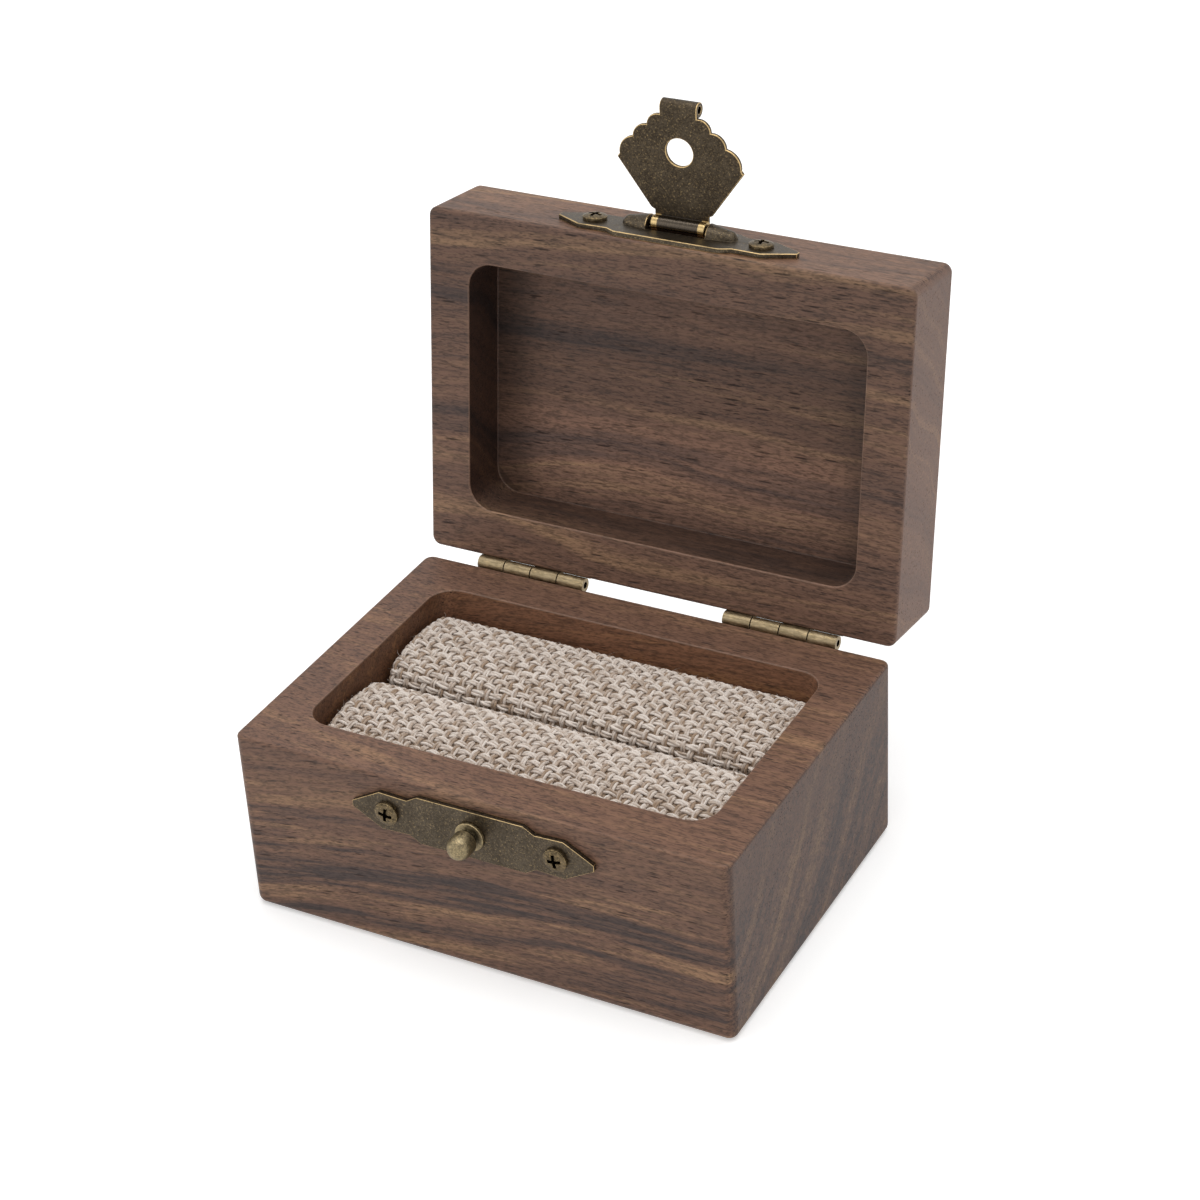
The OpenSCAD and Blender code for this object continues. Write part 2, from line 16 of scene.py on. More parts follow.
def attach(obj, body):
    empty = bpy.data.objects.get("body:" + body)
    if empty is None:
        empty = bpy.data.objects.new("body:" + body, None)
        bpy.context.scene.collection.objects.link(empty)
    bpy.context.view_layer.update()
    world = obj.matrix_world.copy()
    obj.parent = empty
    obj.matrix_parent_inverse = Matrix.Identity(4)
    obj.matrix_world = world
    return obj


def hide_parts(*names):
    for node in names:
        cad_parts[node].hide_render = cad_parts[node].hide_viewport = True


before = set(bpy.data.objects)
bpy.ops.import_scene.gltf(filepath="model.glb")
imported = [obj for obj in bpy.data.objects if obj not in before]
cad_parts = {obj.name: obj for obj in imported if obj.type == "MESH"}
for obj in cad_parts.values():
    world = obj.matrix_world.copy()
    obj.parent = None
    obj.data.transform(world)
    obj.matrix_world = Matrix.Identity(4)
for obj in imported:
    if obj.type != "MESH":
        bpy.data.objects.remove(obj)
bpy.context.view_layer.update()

MM = 0.001

# The lid's angle in degrees and sizes in millimetres, as the part's source gives them
LID_OPEN = 98
BOX_W = 80
ROLL_L = 64.8
ROLL_D = 19.35
ROLL_H = 20.8
ROLL_FOOT = 7.6
ROLL_Y = 10.125
ROLL_SHOULDER_R = 4.2
ROLL_CROWN = 0.7
ROLL_WAIST = 0.3
ROLL_END_R = 1.8
FOAM_L = 61.6
FOAM_D = 15.55
FOAM_H = 17.1

# The flap's barrel at rest, in millimetres: its axis, its radius with 0.05 over, where its ends start
FLAP_BARREL_Y = 42.847
FLAP_BARREL_Z = 87.99
FLAP_BARREL_R = 1.25
FLAP_BARREL_END = 3.4


# ---------- working on meshes ----------

SHARP = math.radians(35)
ONE_FACE = math.radians(0.4)
ONE_POINT = 0.002 * MM
RAY_LIFT = 0.01 * MM
RAY_COUNT = 24
BOX_WIDE_RAY = 90 * MM
WALL_TO_WALL = 20 * MM
WALL_LEAN = 0.3
FLOOR_LEVEL = 0.9


def only(piece):
    """Selects one piece and makes it the active one."""
    if bpy.context.object and bpy.context.object.mode != "OBJECT":
        bpy.ops.object.mode_set(mode="OBJECT")
    bpy.ops.object.select_all(action="DESELECT")
    piece.select_set(True)
    bpy.context.view_layer.objects.active = piece


def edit_all(piece, *steps):
    """Runs mesh operators, given as (operator, values), on the whole of a piece."""
    only(piece)
    bpy.ops.object.mode_set(mode="EDIT")
    bpy.ops.mesh.select_all(action="SELECT")
    for operator, values in steps:
        operator(**values)
    bpy.ops.object.mode_set(mode="OBJECT")


def put_modifier(piece, kind, **values):
    """Adds a modifier with the given values and applies it."""
    only(piece)
    modifier = piece.modifiers.new(kind.lower(), kind)
    for name, value in values.items():
        setattr(modifier, name, value)
    bpy.ops.object.modifier_apply(modifier=modifier.name)


def new_mesh(name, points, faces):
    """A mesh piece at the origin from points in millimetres."""
    mesh = bpy.data.meshes.new(name)
    mesh.from_pydata([tuple(c * MM for c in p) for p in points], [], faces)
    mesh.validate()
    piece = bpy.data.objects.new(name, mesh)
    bpy.context.scene.collection.objects.link(piece)
    return piece


def worked_copy(node, name):
    """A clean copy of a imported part, its triangles joined into whole faces."""
    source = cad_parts[node]
    piece = source.copy()
    piece.data = source.data.copy()
    piece.name = name
    piece.data.name = name
    piece.parent = None
    piece.matrix_world = Matrix.Identity(4)
    bpy.context.scene.collection.objects.link(piece)
    piece.data.materials.clear()
    only(piece)
    if piece.data.has_custom_normals:
        bpy.ops.mesh.customdata_custom_splitnormals_clear()
    edit_all(
        piece,
        (bpy.ops.mesh.remove_doubles, {"threshold": ONE_POINT}),
        (bpy.ops.mesh.dissolve_limited, {"angle_limit": ONE_FACE}),
    )
    return piece


def ray_tree(mesh):
    """A mesh's faces, ready to be hit by rays."""
    return BVHTree.FromPolygons([v.co for v in mesh.vertices], [f.vertices for f in mesh.polygons])


def mark_faces(mesh, name, value_of):
    """Writes a number for each face on its corners, for the materials to read."""
    mark = mesh.attributes.new(name, "FLOAT", "CORNER")
    for face in mesh.polygons:
        value = float(value_of(face))
        for corner in face.loop_indices:
            mark.data[corner].value = value


def is_pocket_wall(tree, centre, normal):
    """Whether a face looks at another one across more than a hinge's length."""
    distance = tree.ray_cast(centre + normal * RAY_LIFT, normal, BOX_WIDE_RAY)[3]
    return distance is not None and distance > WALL_TO_WALL


def weigh_edges(piece, slight):
    """Gives the pocket's edges the whole rounding and every other sharp edge a slight one."""
    mesh = piece.data
    tree = ray_tree(mesh)
    shape = bmesh.new()
    shape.from_mesh(mesh)
    weight = shape.edges.layers.float.new("bevel_weight_edge")
    walls = {f for f in shape.faces if is_pocket_wall(tree, f.calc_center_median(), f.normal)}
    for edge in shape.edges:
        if len(edge.link_faces) == 2 and edge.calc_face_angle() > SHARP:
            edge[weight] = 1.0 if walls.intersection(edge.link_faces) else slight
    shape.to_mesh(mesh)
    shape.free()


def ease_edges(piece, width, slight=None, whole=False):
    """Rounds the sharp edges and marks the new narrow faces, for edge wear on the bronze and a painted
    highlight on the walnut.

    slight is the share of the width for the edges that aren't the pocket's, on a block that has one;
    whole keeps the width also where the outline's own steps are short.
    """
    piece.data.materials.clear()
    for slot in range(2):
        piece.data.materials.append(None)
    only(piece)
    bpy.ops.object.shade_smooth()
    if slight is not None:
        weigh_edges(piece, slight)
    put_modifier(
        piece, "BEVEL", width=width * MM, segments=3, angle_limit=SHARP, material=1,
        limit_method="ANGLE" if slight is None else "WEIGHT",
        use_clamp_overlap=slight is None and not whole,
    )
    put_modifier(piece, "TRIANGULATE", quad_method="BEAUTY", ngon_method="BEAUTY")
    mark_faces(piece.data, "wear_and_highlight", lambda face: face.material_index == 1)
    for face in piece.data.polygons:
        face.material_index = 0
    piece.data.materials.clear()
    put_modifier(piece, "WEIGHTED_NORMAL", keep_sharp=False, weight=80)


def open_rays():
    """Directions spread evenly over half a ball round +Z."""
    golden = math.pi * (3 - math.sqrt(5))
    rays = []
    for i in range(RAY_COUNT):
        z = (i + 0.5) / RAY_COUNT
        r = math.sqrt(1 - z * z)
        rays.append(Vector((r * math.cos(golden * i), r * math.sin(golden * i), z)))
    return rays


def mark_hollows(piece, reach):
    """Marks the faces that lie in recesses: dirt and dark patina stay there on the bronze, and the walnut
    gets painted shade there.
    """
    tree = ray_tree(piece.data)
    rays = open_rays()

    def hidden(face):
        turn = face.normal.to_track_quat("Z", "Y")
        start = face.center + face.normal * RAY_LIFT
        return sum(1 for ray in rays if tree.ray_cast(start, turn @ ray, reach * MM)[0]) / RAY_COUNT

    mark_faces(piece.data, "hollow", hidden)


def mark_pocket(piece, opening):
    """Marks the walls and the floor of a pocket that opens towards the given direction."""
    tree = ray_tree(piece.data)

    def wall(face):
        return abs(face.normal.dot(opening)) < WALL_LEAN and is_pocket_wall(tree, face.center, face.normal)

    def sunk(face):
        start = face.center + opening * MM
        return face.normal.dot(opening) > FLOOR_LEVEL and all(
            tree.ray_cast(start, Vector((side, 0, 0)), BOX_WIDE_RAY)[0] for side in (-1, 1)
        )

    mark_faces(piece.data, "cut", wall)
    mark_faces(piece.data, "pocket_floor", sunk)


def finish_piece(piece, material, body, nodes):
    """Gives a piece its material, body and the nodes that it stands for."""
    piece.data.materials.clear()
    piece.data.materials.append(material)
    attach(piece, body)
    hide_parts(*nodes)


# ---------- shader helpers ----------

def feed(tree, socket, value):
    """Links a socket to another one, or sets its value."""
    if isinstance(value, bpy.types.NodeSocket):
        tree.links.new(value, socket)
    else:
        socket.default_value = value


def add_node(tree, kind, inputs=None, **settings):
    """Adds a node; inputs maps a socket's name or number to a value or another socket."""
    made = tree.nodes.new(kind)
    for name, value in settings.items():
        setattr(made, name, value)
    for key, value in (inputs or {}).items():
        feed(tree, made.inputs[key], value)
    return made


def math_of(tree, operation, a, b=0.0, c=0.0, clamp=False):
    """One Math node's result."""
    made = add_node(tree, "ShaderNodeMath", {0: a, 1: b, 2: c}, operation=operation, use_clamp=clamp)
    return made.outputs[0]


def spread(tree, value, low, high, out_low=0.0, out_high=1.0):
    """A value eased from one range into another."""
    made = add_node(
        tree, "ShaderNodeMapRange",
        {"Value": value, "From Min": low, "From Max": high, "To Min": out_low, "To Max": out_high},
        interpolation_type="SMOOTHSTEP",
    )
    return made.outputs["Result"]


def noise_of(tree, vector, scale, detail=2.0, roughness=0.5, distortion=0.0):
    """Noise between about 0 and 1."""
    made = add_node(tree, "ShaderNodeTexNoise", {
        "Vector": vector, "Scale": scale, "Detail": detail, "Roughness": roughness, "Distortion": distortion,
    })
    return made.outputs["Fac"]


def stretched(tree, vector, scale, turn=(0.0, 0.0, 0.0), move=(0.0, 0.0, 0.0)):
    """Coordinates that a Mapping node turned and scaled."""
    made = add_node(
        tree, "ShaderNodeMapping",
        {"Vector": vector, "Location": move, "Rotation": turn, "Scale": scale}, vector_type="POINT",
    )
    return made.outputs["Vector"]


def object_mm(tree, scale=(1000, 1000, 1000)):
    """The piece's own coordinates in millimetres, or at another scale."""
    where = add_node(tree, "ShaderNodeTexCoord").outputs["Object"]
    return stretched(tree, where, scale)


def parts_of(tree, vector):
    """A vector's X, Y and Z."""
    return add_node(tree, "ShaderNodeSeparateXYZ", {"Vector": vector}).outputs


def mark_of(tree, name):
    """A number that the mesh carries."""
    return add_node(tree, "ShaderNodeAttribute", attribute_name=name).outputs["Fac"]


def grey(tree, value):
    """A value as a colour without hue."""
    return add_node(tree, "ShaderNodeCombineXYZ", {"X": value, "Y": value, "Z": value}).outputs[0]


def mix_colour(tree, amount, a, b, blend="MIX"):
    """Two colours mixed."""
    inputs = {0: amount, 6: a, 7: b}
    made = add_node(tree, "ShaderNodeMix", inputs, data_type="RGBA", blend_type=blend, clamp_factor=True)
    return made.outputs[2]


def times(tree, a, b):
    """Two colours multiplied."""
    return mix_colour(tree, 1.0, a, b, "MULTIPLY")


def colour(hex_value):
    """A written colour as the shader's linear one."""
    parts = [int(hex_value[i:i + 2], 16) / 255 for i in (1, 3, 5)]
    return tuple(c / 12.92 if c <= 0.04045 else ((c + 0.055) / 1.055) ** 2.4 for c in parts) + (1.0,)


def new_group(name, inputs):
    """An empty node group for a finish; returns the tree, its inputs and its output node."""
    tree = bpy.data.node_groups.new(name, "ShaderNodeTree")
    for socket_name, kind, value in inputs:
        socket = tree.interface.new_socket(name=socket_name, in_out="INPUT", socket_type=kind)
        if value is not None:
            socket.default_value = value
    for socket_name, kind in (
        ("Color", "NodeSocketColor"), ("Roughness", "NodeSocketFloat"), ("Height", "NodeSocketFloat"),
    ):
        tree.interface.new_socket(name=socket_name, in_out="OUTPUT", socket_type=kind)
    start = tree.nodes.new("NodeGroupInput")
    end = tree.nodes.new("NodeGroupOutput")
    return tree, start.outputs, end


def close_group(tree, end, shade, rough, height):
    """Links what a finish's node group puts out."""
    for name, value in (("Color", shade), ("Roughness", rough), ("Height", height)):
        tree.links.new(value, end.inputs[name])


def place_group(tree, group, inputs):
    """The outputs of a node group placed in a material with its own values."""
    return add_node(tree, "ShaderNodeGroup", inputs, node_tree=group).outputs


def new_material(name):
    """A material with its Principled shader; returns material, tree and shader."""
    material = bpy.data.materials.new(name)
    material.use_nodes = True
    tree = material.node_tree
    shader = tree.nodes["Principled BSDF"]
    return material, tree, shader


def finish_shader(tree, shader, shade, rough, bump, more=None):
    """Feeds a shader; bump is (height, strength, distance) and more holds its other values."""
    height, strength, distance = bump
    normal = add_node(tree, "ShaderNodeBump", {"Strength": strength, "Distance": distance, "Height": height})
    feeds = {"Base Color": shade, "Roughness": rough, "Normal": normal.outputs[0], **(more or {})}
    for name, value in feeds.items():
        feed(tree, shader.inputs[name], value)


# ---------- walnut ----------

# Pores, each as (number to a millimetre, stretch along the grain, width, darkness)
PORES = ((1.5, 0.12, 0.15, 1.0), (2.3, 0.16, 0.15, 0.85), (3.4, 0.2, 0.19, 0.6))
# How the growth rings cross the board's Y and Z
RING_Y = 0.79
RING_Z = -0.62
# Half the height over which streaky wood passes into plain wood, in metres
STREAKY_FADE = 0.004


def walnut_grain():
    """Solid walnut figure: the vector is in millimetres and the grain runs along X."""
    tree, given, end = new_group("walnut_grain", [
        ("Vector", "NodeSocketVector", None),
        ("Dark", "NodeSocketColor", colour("#40322d")),
        ("Middle", "NodeSocketColor", colour("#6e5140")),
        ("Light", "NodeSocketColor", colour("#937254")),
        ("Band Contrast", "NodeSocketFloat", 1.0),
        ("Streaks", "NodeSocketFloat", 0.36),
        ("Pore Size", "NodeSocketFloat", 1.0),
    ])
    vector = given["Vector"]
    # The growth rings lean back and wander a little along the board
    waves = noise_of(tree, stretched(tree, vector, (0.016, 0.045, 0.06)), 1.0, 1.0, 0.5)
    waves = spread(tree, waves, 0.2, 0.8, -2.6, 2.6)
    ripple = noise_of(tree, stretched(tree, vector, (0.07, 0.2, 0.2)), 1.0, 1.0, 0.5)
    waves = math_of(tree, "MULTIPLY_ADD", ripple, 0.9, waves)
    parts = parts_of(tree, vector)
    ring = math_of(tree, "MULTIPLY", parts["Y"], RING_Y)
    ring = math_of(tree, "MULTIPLY_ADD", parts["Z"], RING_Z, ring)
    ring = math_of(tree, "ADD", ring, waves)
    along = math_of(tree, "MULTIPLY", parts["X"], 0.012)
    rings = add_node(tree, "ShaderNodeCombineXYZ", {"X": ring, "Y": along}).outputs[0]
    broad = noise_of(tree, rings, 0.21, 1.0, 0.5)
    narrow = noise_of(tree, rings, 0.95, 3.0, 0.6)
    # Streaks of a few centimetres, fibres of a few millimetres, hairs of one
    streaks = noise_of(tree, stretched(tree, vector, (0.05, 1.0, 1.0)), 0.9, 4.0, 0.68)
    fibres = noise_of(tree, stretched(tree, vector, (0.10, 1.0, 1.0)), 2.0, 3.0, 0.7)
    hairs = noise_of(tree, stretched(tree, vector, (0.25, 1.0, 1.0)), 3.4, 1.5, 0.7, 0.35)
    figure = math_of(tree, "MULTIPLY_ADD", broad, 0.40, math_of(tree, "MULTIPLY", narrow, 0.26))
    streaks = math_of(tree, "MULTIPLY", math_of(tree, "SUBTRACT", streaks, 0.5), given["Streaks"])
    figure = math_of(tree, "ADD", math_of(tree, "ADD", figure, 0.18), streaks)
    figure = spread(tree, figure, 0.36, 0.68)
    figure = math_of(tree, "SUBTRACT", figure, 0.58)
    figure = math_of(tree, "MULTIPLY_ADD", figure, given["Band Contrast"], 0.60, clamp=True)
    shade = mix_colour(tree, spread(tree, figure, 0.0, 0.5), given["Dark"], given["Middle"])
    shade = mix_colour(tree, spread(tree, figure, 0.5, 1.0), shade, given["Light"])
    # Most of the wood is even in tone, with thin dark fibres and hairs in it
    fibre_tone = spread(tree, fibres, 0.34, 0.54, 0.64, 1.10)
    hair_tone = spread(tree, hairs, 0.34, 0.56, 0.62, 1.15)
    shade = times(tree, shade, grey(tree, math_of(tree, "MULTIPLY", fibre_tone, hair_tone)))
    # Pores: short dark dashes along the grain and dots across it
    pore = 0.0
    for number, (scale, stretch, reach, darkness) in enumerate(PORES):
        apart = (7.3 * number, 3.1 * number, 0.0)
        moved = stretched(tree, vector, (stretch, 1.0, 1.0), move=apart)
        inputs = {"Vector": moved, "Scale": scale, "Randomness": 1.0}
        cells = add_node(tree, "ShaderNodeTexVoronoi", inputs, feature="F1").outputs
        picked = add_node(tree, "ShaderNodeSeparateColor", {"Color": cells["Color"]}).outputs[0]
        wide = spread(tree, picked, 0.0, 1.0, reach * 0.2, reach * 1.2)
        if number == 0:
            wide = math_of(tree, "MULTIPLY", wide, given["Pore Size"])
        gap = math_of(tree, "SUBTRACT", cells["Distance"], wide)
        dash = spread(tree, gap, -0.04, 0.10, darkness, 0.0)
        pore = dash if number == 0 else math_of(tree, "MAXIMUM", pore, dash)
    crowd = noise_of(tree, stretched(tree, vector, (0.035, 0.16, 0.16)), 1.0, 2.0)
    pore = math_of(tree, "MULTIPLY", pore, spread(tree, crowd, 0.36, 0.6, 0.45, 1.0))
    shade = mix_colour(tree, math_of(tree, "MULTIPLY", pore, 0.85), shade, colour("#241812"))
    rough = math_of(tree, "MULTIPLY_ADD", fibres, 0.16, 0.46)
    rough = math_of(tree, "MULTIPLY_ADD", pore, 0.25, rough, clamp=True)
    height = math_of(tree, "MULTIPLY_ADD", pore, -1.0, math_of(tree, "MULTIPLY", hairs, 0.5))
    close_group(tree, end, shade, rough, height)
    return tree


def walnut(
    name, grain, turn, move, bend, cast, streaky, streaks, pore_size, drift, floor_painted_light, painted_top_light, end_tint, walls,
    corners,
):
    """Walnut of one block: the turn and move lay the block back into the board it was cut from.

    bend is how much the grain rises towards one end, and cast multiplies the whole board's colour.
    streaky is (height below which the dark streaks lie, contrast above it, contrast below it).
    drift lists how the board's tone changes with the height, as (from, to, factor before, factor after).
    floor_painted_light is the same for the pocket's floor alone: painted light and shade in bands.
    painted_top_light is painted light, a cast for the outer faces that look up.
    end_tint is laid over the outer end grain, a greyer tone that is partly painted sheen. walls holds the
    casts of the end grain
    and of the long grain on the pocket's walls, partly painted shade. corners is the painted shade on the
    pocket's floor:
    (distance along X where the floor starts to darken, where it ends, how much). Heights and distances are
    in metres.
    """
    material, tree, shader = new_material(name)
    where = add_node(tree, "ShaderNodeTexCoord").outputs
    place = parts_of(tree, where["Object"])
    from_end = math_of(tree, "SUBTRACT", BOX_W / 2 * MM, place["X"])
    bow = math_of(tree, "MULTIPLY", from_end, bend)
    bow = math_of(tree, "MULTIPLY_ADD", bow, bow, place["Z"])
    vector = add_node(tree, "ShaderNodeCombineXYZ", {"X": place["X"], "Y": place["Y"], "Z": bow}).outputs[0]
    vector = stretched(tree, vector, (1000, 1000, 1000), turn, move)
    height, above, below = streaky
    contrast = spread(tree, place["Z"], height - STREAKY_FADE, height + STREAKY_FADE, below, above)
    out = place_group(tree, grain, {
        "Vector": vector, "Band Contrast": contrast, "Streaks": streaks, "Pore Size": pore_size,
    })
    board = times(tree, out["Color"], cast + (1.0,))
    sunk = mark_of(tree, "pocket_floor")
    tones = [spread(tree, place["Z"], *step) for step in drift]
    # Painted light and shade: the pocket's floor is lightened and darkened in bands by height
    for step in floor_painted_light:
        on_floor = math_of(tree, "SUBTRACT", spread(tree, place["Z"], *step), 1.0)
        tones.append(math_of(tree, "MULTIPLY_ADD", on_floor, sunk, 1.0))
    for tone in tones:
        board = times(tree, board, grey(tree, tone))
    sides = parts_of(tree, where["Normal"])
    end_grain = spread(tree, math_of(tree, "ABSOLUTE", sides["X"]), 0.55, 0.95)
    cut = mark_of(tree, "cut")
    outer = spread(tree, cut, 0.0, 1.0, 1.0, 0.0)
    # Painted light: the outer faces that look up are lightened by a cast
    faces_up = math_of(tree, "MULTIPLY", spread(tree, sides["Z"], 0.85, 0.97), outer)
    board = mix_colour(tree, faces_up, board, times(tree, board, painted_top_light + (1.0,)))
    # The outer end grain gets a greyer tint: its own tone, partly painted sheen
    outer_end = math_of(tree, "MULTIPLY", math_of(tree, "MULTIPLY", end_grain, outer), 0.5)
    shade = mix_colour(tree, outer_end, board, end_tint)
    # The walls of the pocket get a cast of their own, darkest across the end grain: the cutter's burn
    # together with painted shade
    wall_tint = mix_colour(tree, end_grain, walls[1] + (1.0,), walls[0] + (1.0,))
    shade = mix_colour(tree, cut, shade, times(tree, shade, wall_tint))
    # Painted shade: the pocket's floor darkens towards its ends along X, near the walls
    near, far, amount = corners
    corner = spread(tree, math_of(tree, "ABSOLUTE", place["X"]), near, far, 0.0, amount)
    shade = mix_colour(tree, math_of(tree, "MULTIPLY", corner, sunk), shade, colour("#140c07"))
    hollow = spread(tree, mark_of(tree, "hollow"), 0.12, 0.4)
    # Painted highlight: the eased edges of the walnut are lightened, less where they lie in a recess
    eased = math_of(tree, "MULTIPLY", mark_of(tree, "wear_and_highlight"), spread(tree, hollow, 0.0, 0.5, 0.18, 0.0))
    shade = mix_colour(tree, eased, shade, colour("#b3937d"))
    # Painted shade: the walnut is darkened where its faces lie in recesses
    shade = mix_colour(tree, math_of(tree, "MULTIPLY", hollow, 0.4), shade, colour("#1d120c"))
    bump = (out["Height"], 0.45, 0.1 * MM)
    finish_shader(tree, shader, shade, out["Roughness"], bump, {"Specular IOR Level": 0.35})
    return material


# ---------- antique bronze ----------

def patina():
    """Speckled brown patina with bright metal where it is rubbed; the vector is in millimetres."""
    tree, given, end = new_group("patina", [
        ("Vector", "NodeSocketVector", None),
        ("Worn", "NodeSocketFloat", 0.0),
        ("Hollow", "NodeSocketFloat", 0.0),
        ("Dark", "NodeSocketColor", colour("#332c23")),
        ("Middle", "NodeSocketColor", colour("#5e5343")),
        ("Bright", "NodeSocketColor", colour("#c0a577")),
        ("Rubbed", "NodeSocketFloat", 0.2),
    ])
    vector = given["Vector"]
    clouds = noise_of(tree, vector, 0.32, 3.0, 0.55, 0.3)
    specks = noise_of(tree, vector, 2.7, 3.0, 0.75)
    grit = noise_of(tree, vector, 6.5, 1.0, 0.5)
    mottled = math_of(tree, "MULTIPLY_ADD", specks, 0.72, math_of(tree, "MULTIPLY", clouds, 0.28))
    shade = mix_colour(tree, spread(tree, mottled, 0.36, 0.66), given["Dark"], given["Middle"])
    # Fine scuffs show brass through the brown
    scuffs = noise_of(tree, stretched(tree, vector, (1.3, 1.8, 1.5), (0.4, 0.6, 0.7)), 2.6, 4.0, 0.7)
    amount = math_of(tree, "MULTIPLY_ADD", given["Rubbed"], 0.22, scuffs)
    amount = math_of(tree, "MULTIPLY_ADD", math_of(tree, "SUBTRACT", grit, 0.5), 0.25, amount)
    rubbed = math_of(tree, "MULTIPLY", spread(tree, amount, 0.56, 0.80), 0.42)
    patchy = spread(tree, math_of(tree, "ADD", specks, clouds), 0.75, 1.1, 0.45, 1.0)
    open_to_touch = spread(tree, given["Hollow"], 0.1, 0.25, 1.0, 0.0)
    edge = math_of(tree, "MULTIPLY", math_of(tree, "MULTIPLY", given["Worn"], patchy), open_to_touch)
    bright = math_of(tree, "MAXIMUM", rubbed, edge)
    shade = mix_colour(tree, bright, shade, given["Bright"])
    soot = spread(tree, given["Hollow"], 0.32, 0.6, 0.0, 0.97)
    shade = mix_colour(tree, soot, shade, colour("#060504"))
    rough = spread(tree, specks, 0.2, 0.8, 0.34, 0.54)
    rough = math_of(tree, "MULTIPLY_ADD", bright, -0.06, rough)
    rough = math_of(tree, "MULTIPLY_ADD", soot, 0.4, rough, clamp=True)
    height = math_of(tree, "MULTIPLY_ADD", specks, 0.5, math_of(tree, "MULTIPLY", grit, 0.5))
    close_group(tree, end, shade, rough, height)
    return tree


def barrel_with_painted_glints(tree, shade, rough, barrel):
    """A darker, smoother knuckle of (y, z, radius, x where its bright ends start), in millimetres, with
    painted reflections at its ends.
    """
    y, z, radius, end = barrel
    place = parts_of(tree, object_mm(tree))
    off_y = math_of(tree, "SUBTRACT", place["Y"], y)
    off_z = math_of(tree, "SUBTRACT", place["Z"], z)
    off = math_of(tree, "MULTIPLY_ADD", off_y, off_y, math_of(tree, "MULTIPLY", off_z, off_z))
    on_barrel = spread(tree, math_of(tree, "SQRT", off), radius, radius + 0.15, 1.0, 0.0)
    ends = spread(tree, math_of(tree, "ABSOLUTE", place["X"]), end - 0.1, end)
    ends = math_of(tree, "MULTIPLY", on_barrel, ends)
    shade = mix_colour(tree, math_of(tree, "MULTIPLY", on_barrel, 0.75), shade, colour("#4f4840"))
    # Painted reflections: the knuckle's ends are lightened to bright gold
    shade = mix_colour(tree, math_of(tree, "MULTIPLY", ends, 0.85), shade, colour("#c2a877"))
    return shade, math_of(tree, "MULTIPLY_ADD", on_barrel, -0.2, rough, clamp=True)


def bronze(
    name, aged, dark, middle, bright, rubbed, edge=1.0, scale=(1000, 1000, 1000), bump=0.25, barrel=None,
):
    """Antique bronze with its patina laid at the given scale.

    rubbed is how far brass shows on its faces and edge how far on its edges. barrel is a knuckle that
    is darker and smoother, with painted reflections at its bright ends.
    """
    material, tree, shader = new_material(name)
    out = place_group(tree, aged, {
        "Vector": object_mm(tree, scale), "Worn": math_of(tree, "MULTIPLY", mark_of(tree, "wear_and_highlight"), edge),
        "Hollow": mark_of(tree, "hollow"), "Dark": colour(dark), "Middle": colour(middle),
        "Bright": colour(bright), "Rubbed": rubbed,
    })
    shade, rough = out["Color"], out["Roughness"]
    if barrel:
        shade, rough = barrel_with_painted_glints(tree, shade, rough, barrel)
    finish_shader(tree, shader, shade, rough, (out["Height"], bump, 0.05 * MM), {"Metallic": 1.0})
    return material


# ---------- cloth, foam and card ----------

def burlap_yarn():
    """Jute and linen yarn: the tone attribute runs from cream to tan, the twist follows the UV map."""
    material, tree, shader = new_material("burlap_yarn")
    tufts = noise_of(tree, object_mm(tree), 0.9, 3.0, 0.6)
    amount = math_of(tree, "ADD", mark_of(tree, "tone"), spread(tree, tufts, 0.3, 0.7, -0.22, 0.22))
    shade = mix_colour(tree, spread(tree, amount, 0.0, 1.0), colour("#ece1d7"), colour("#a8907a"))
    twist = add_node(tree, "ShaderNodeTexCoord").outputs["UV"]
    threads = noise_of(tree, stretched(tree, twist, (1.0, 9.0, 1.0)), 5.0, 3.0, 0.65)
    shade = times(tree, shade, grey(tree, spread(tree, threads, 0.25, 0.75, 0.80, 1.10)))
    # Painted shade: the yarns are darkened under crossings and on their undersides
    under_shade = math_of(tree, "MULTIPLY", mark_of(tree, "under_shade"), 0.45)
    shade = mix_colour(tree, under_shade, shade, colour("#8a7462"))
    finish_shader(
        tree, shader, shade, 0.92, (threads, 0.5, 0.1 * MM),
        {"Specular IOR Level": 0.15, "Sheen Weight": 0.15, "Sheen Roughness": 0.5},
    )
    return material


def cover_backing():
    """The cloth under the open weave, darker than the yarns: painted shade between them."""
    material, tree, shader = new_material("cover_backing")
    lumps = noise_of(tree, object_mm(tree), 1.6, 3.0, 0.6)
    shade = mix_colour(tree, spread(tree, lumps, 0.3, 0.7), colour("#6b594a"), colour("#98836f"))
    finish_shader(tree, shader, shade, 0.95, (lumps, 0.6, 0.2 * MM), {"Specular IOR Level": 0.1})
    return material


def foam_material():
    """Cream upholstery foam with its open cells."""
    material, tree, shader = new_material("cream_foam")
    vector = object_mm(tree)
    cells = add_node(tree, "ShaderNodeTexVoronoi", {"Vector": vector, "Scale": 2.2}, feature="F1")
    cells = cells.outputs["Distance"]
    clouds = noise_of(tree, vector, 0.2, 2.0)
    shade = mix_colour(tree, spread(tree, cells, 0.05, 0.4), colour("#bfb594"), colour("#e8e2cf"))
    shade = mix_colour(tree, spread(tree, clouds, 0.4, 0.7, 0.0, 0.3), shade, colour("#d9cfae"))
    finish_shader(tree, shader, shade, 0.95, (cells, 0.6, 0.2 * MM))
    return material


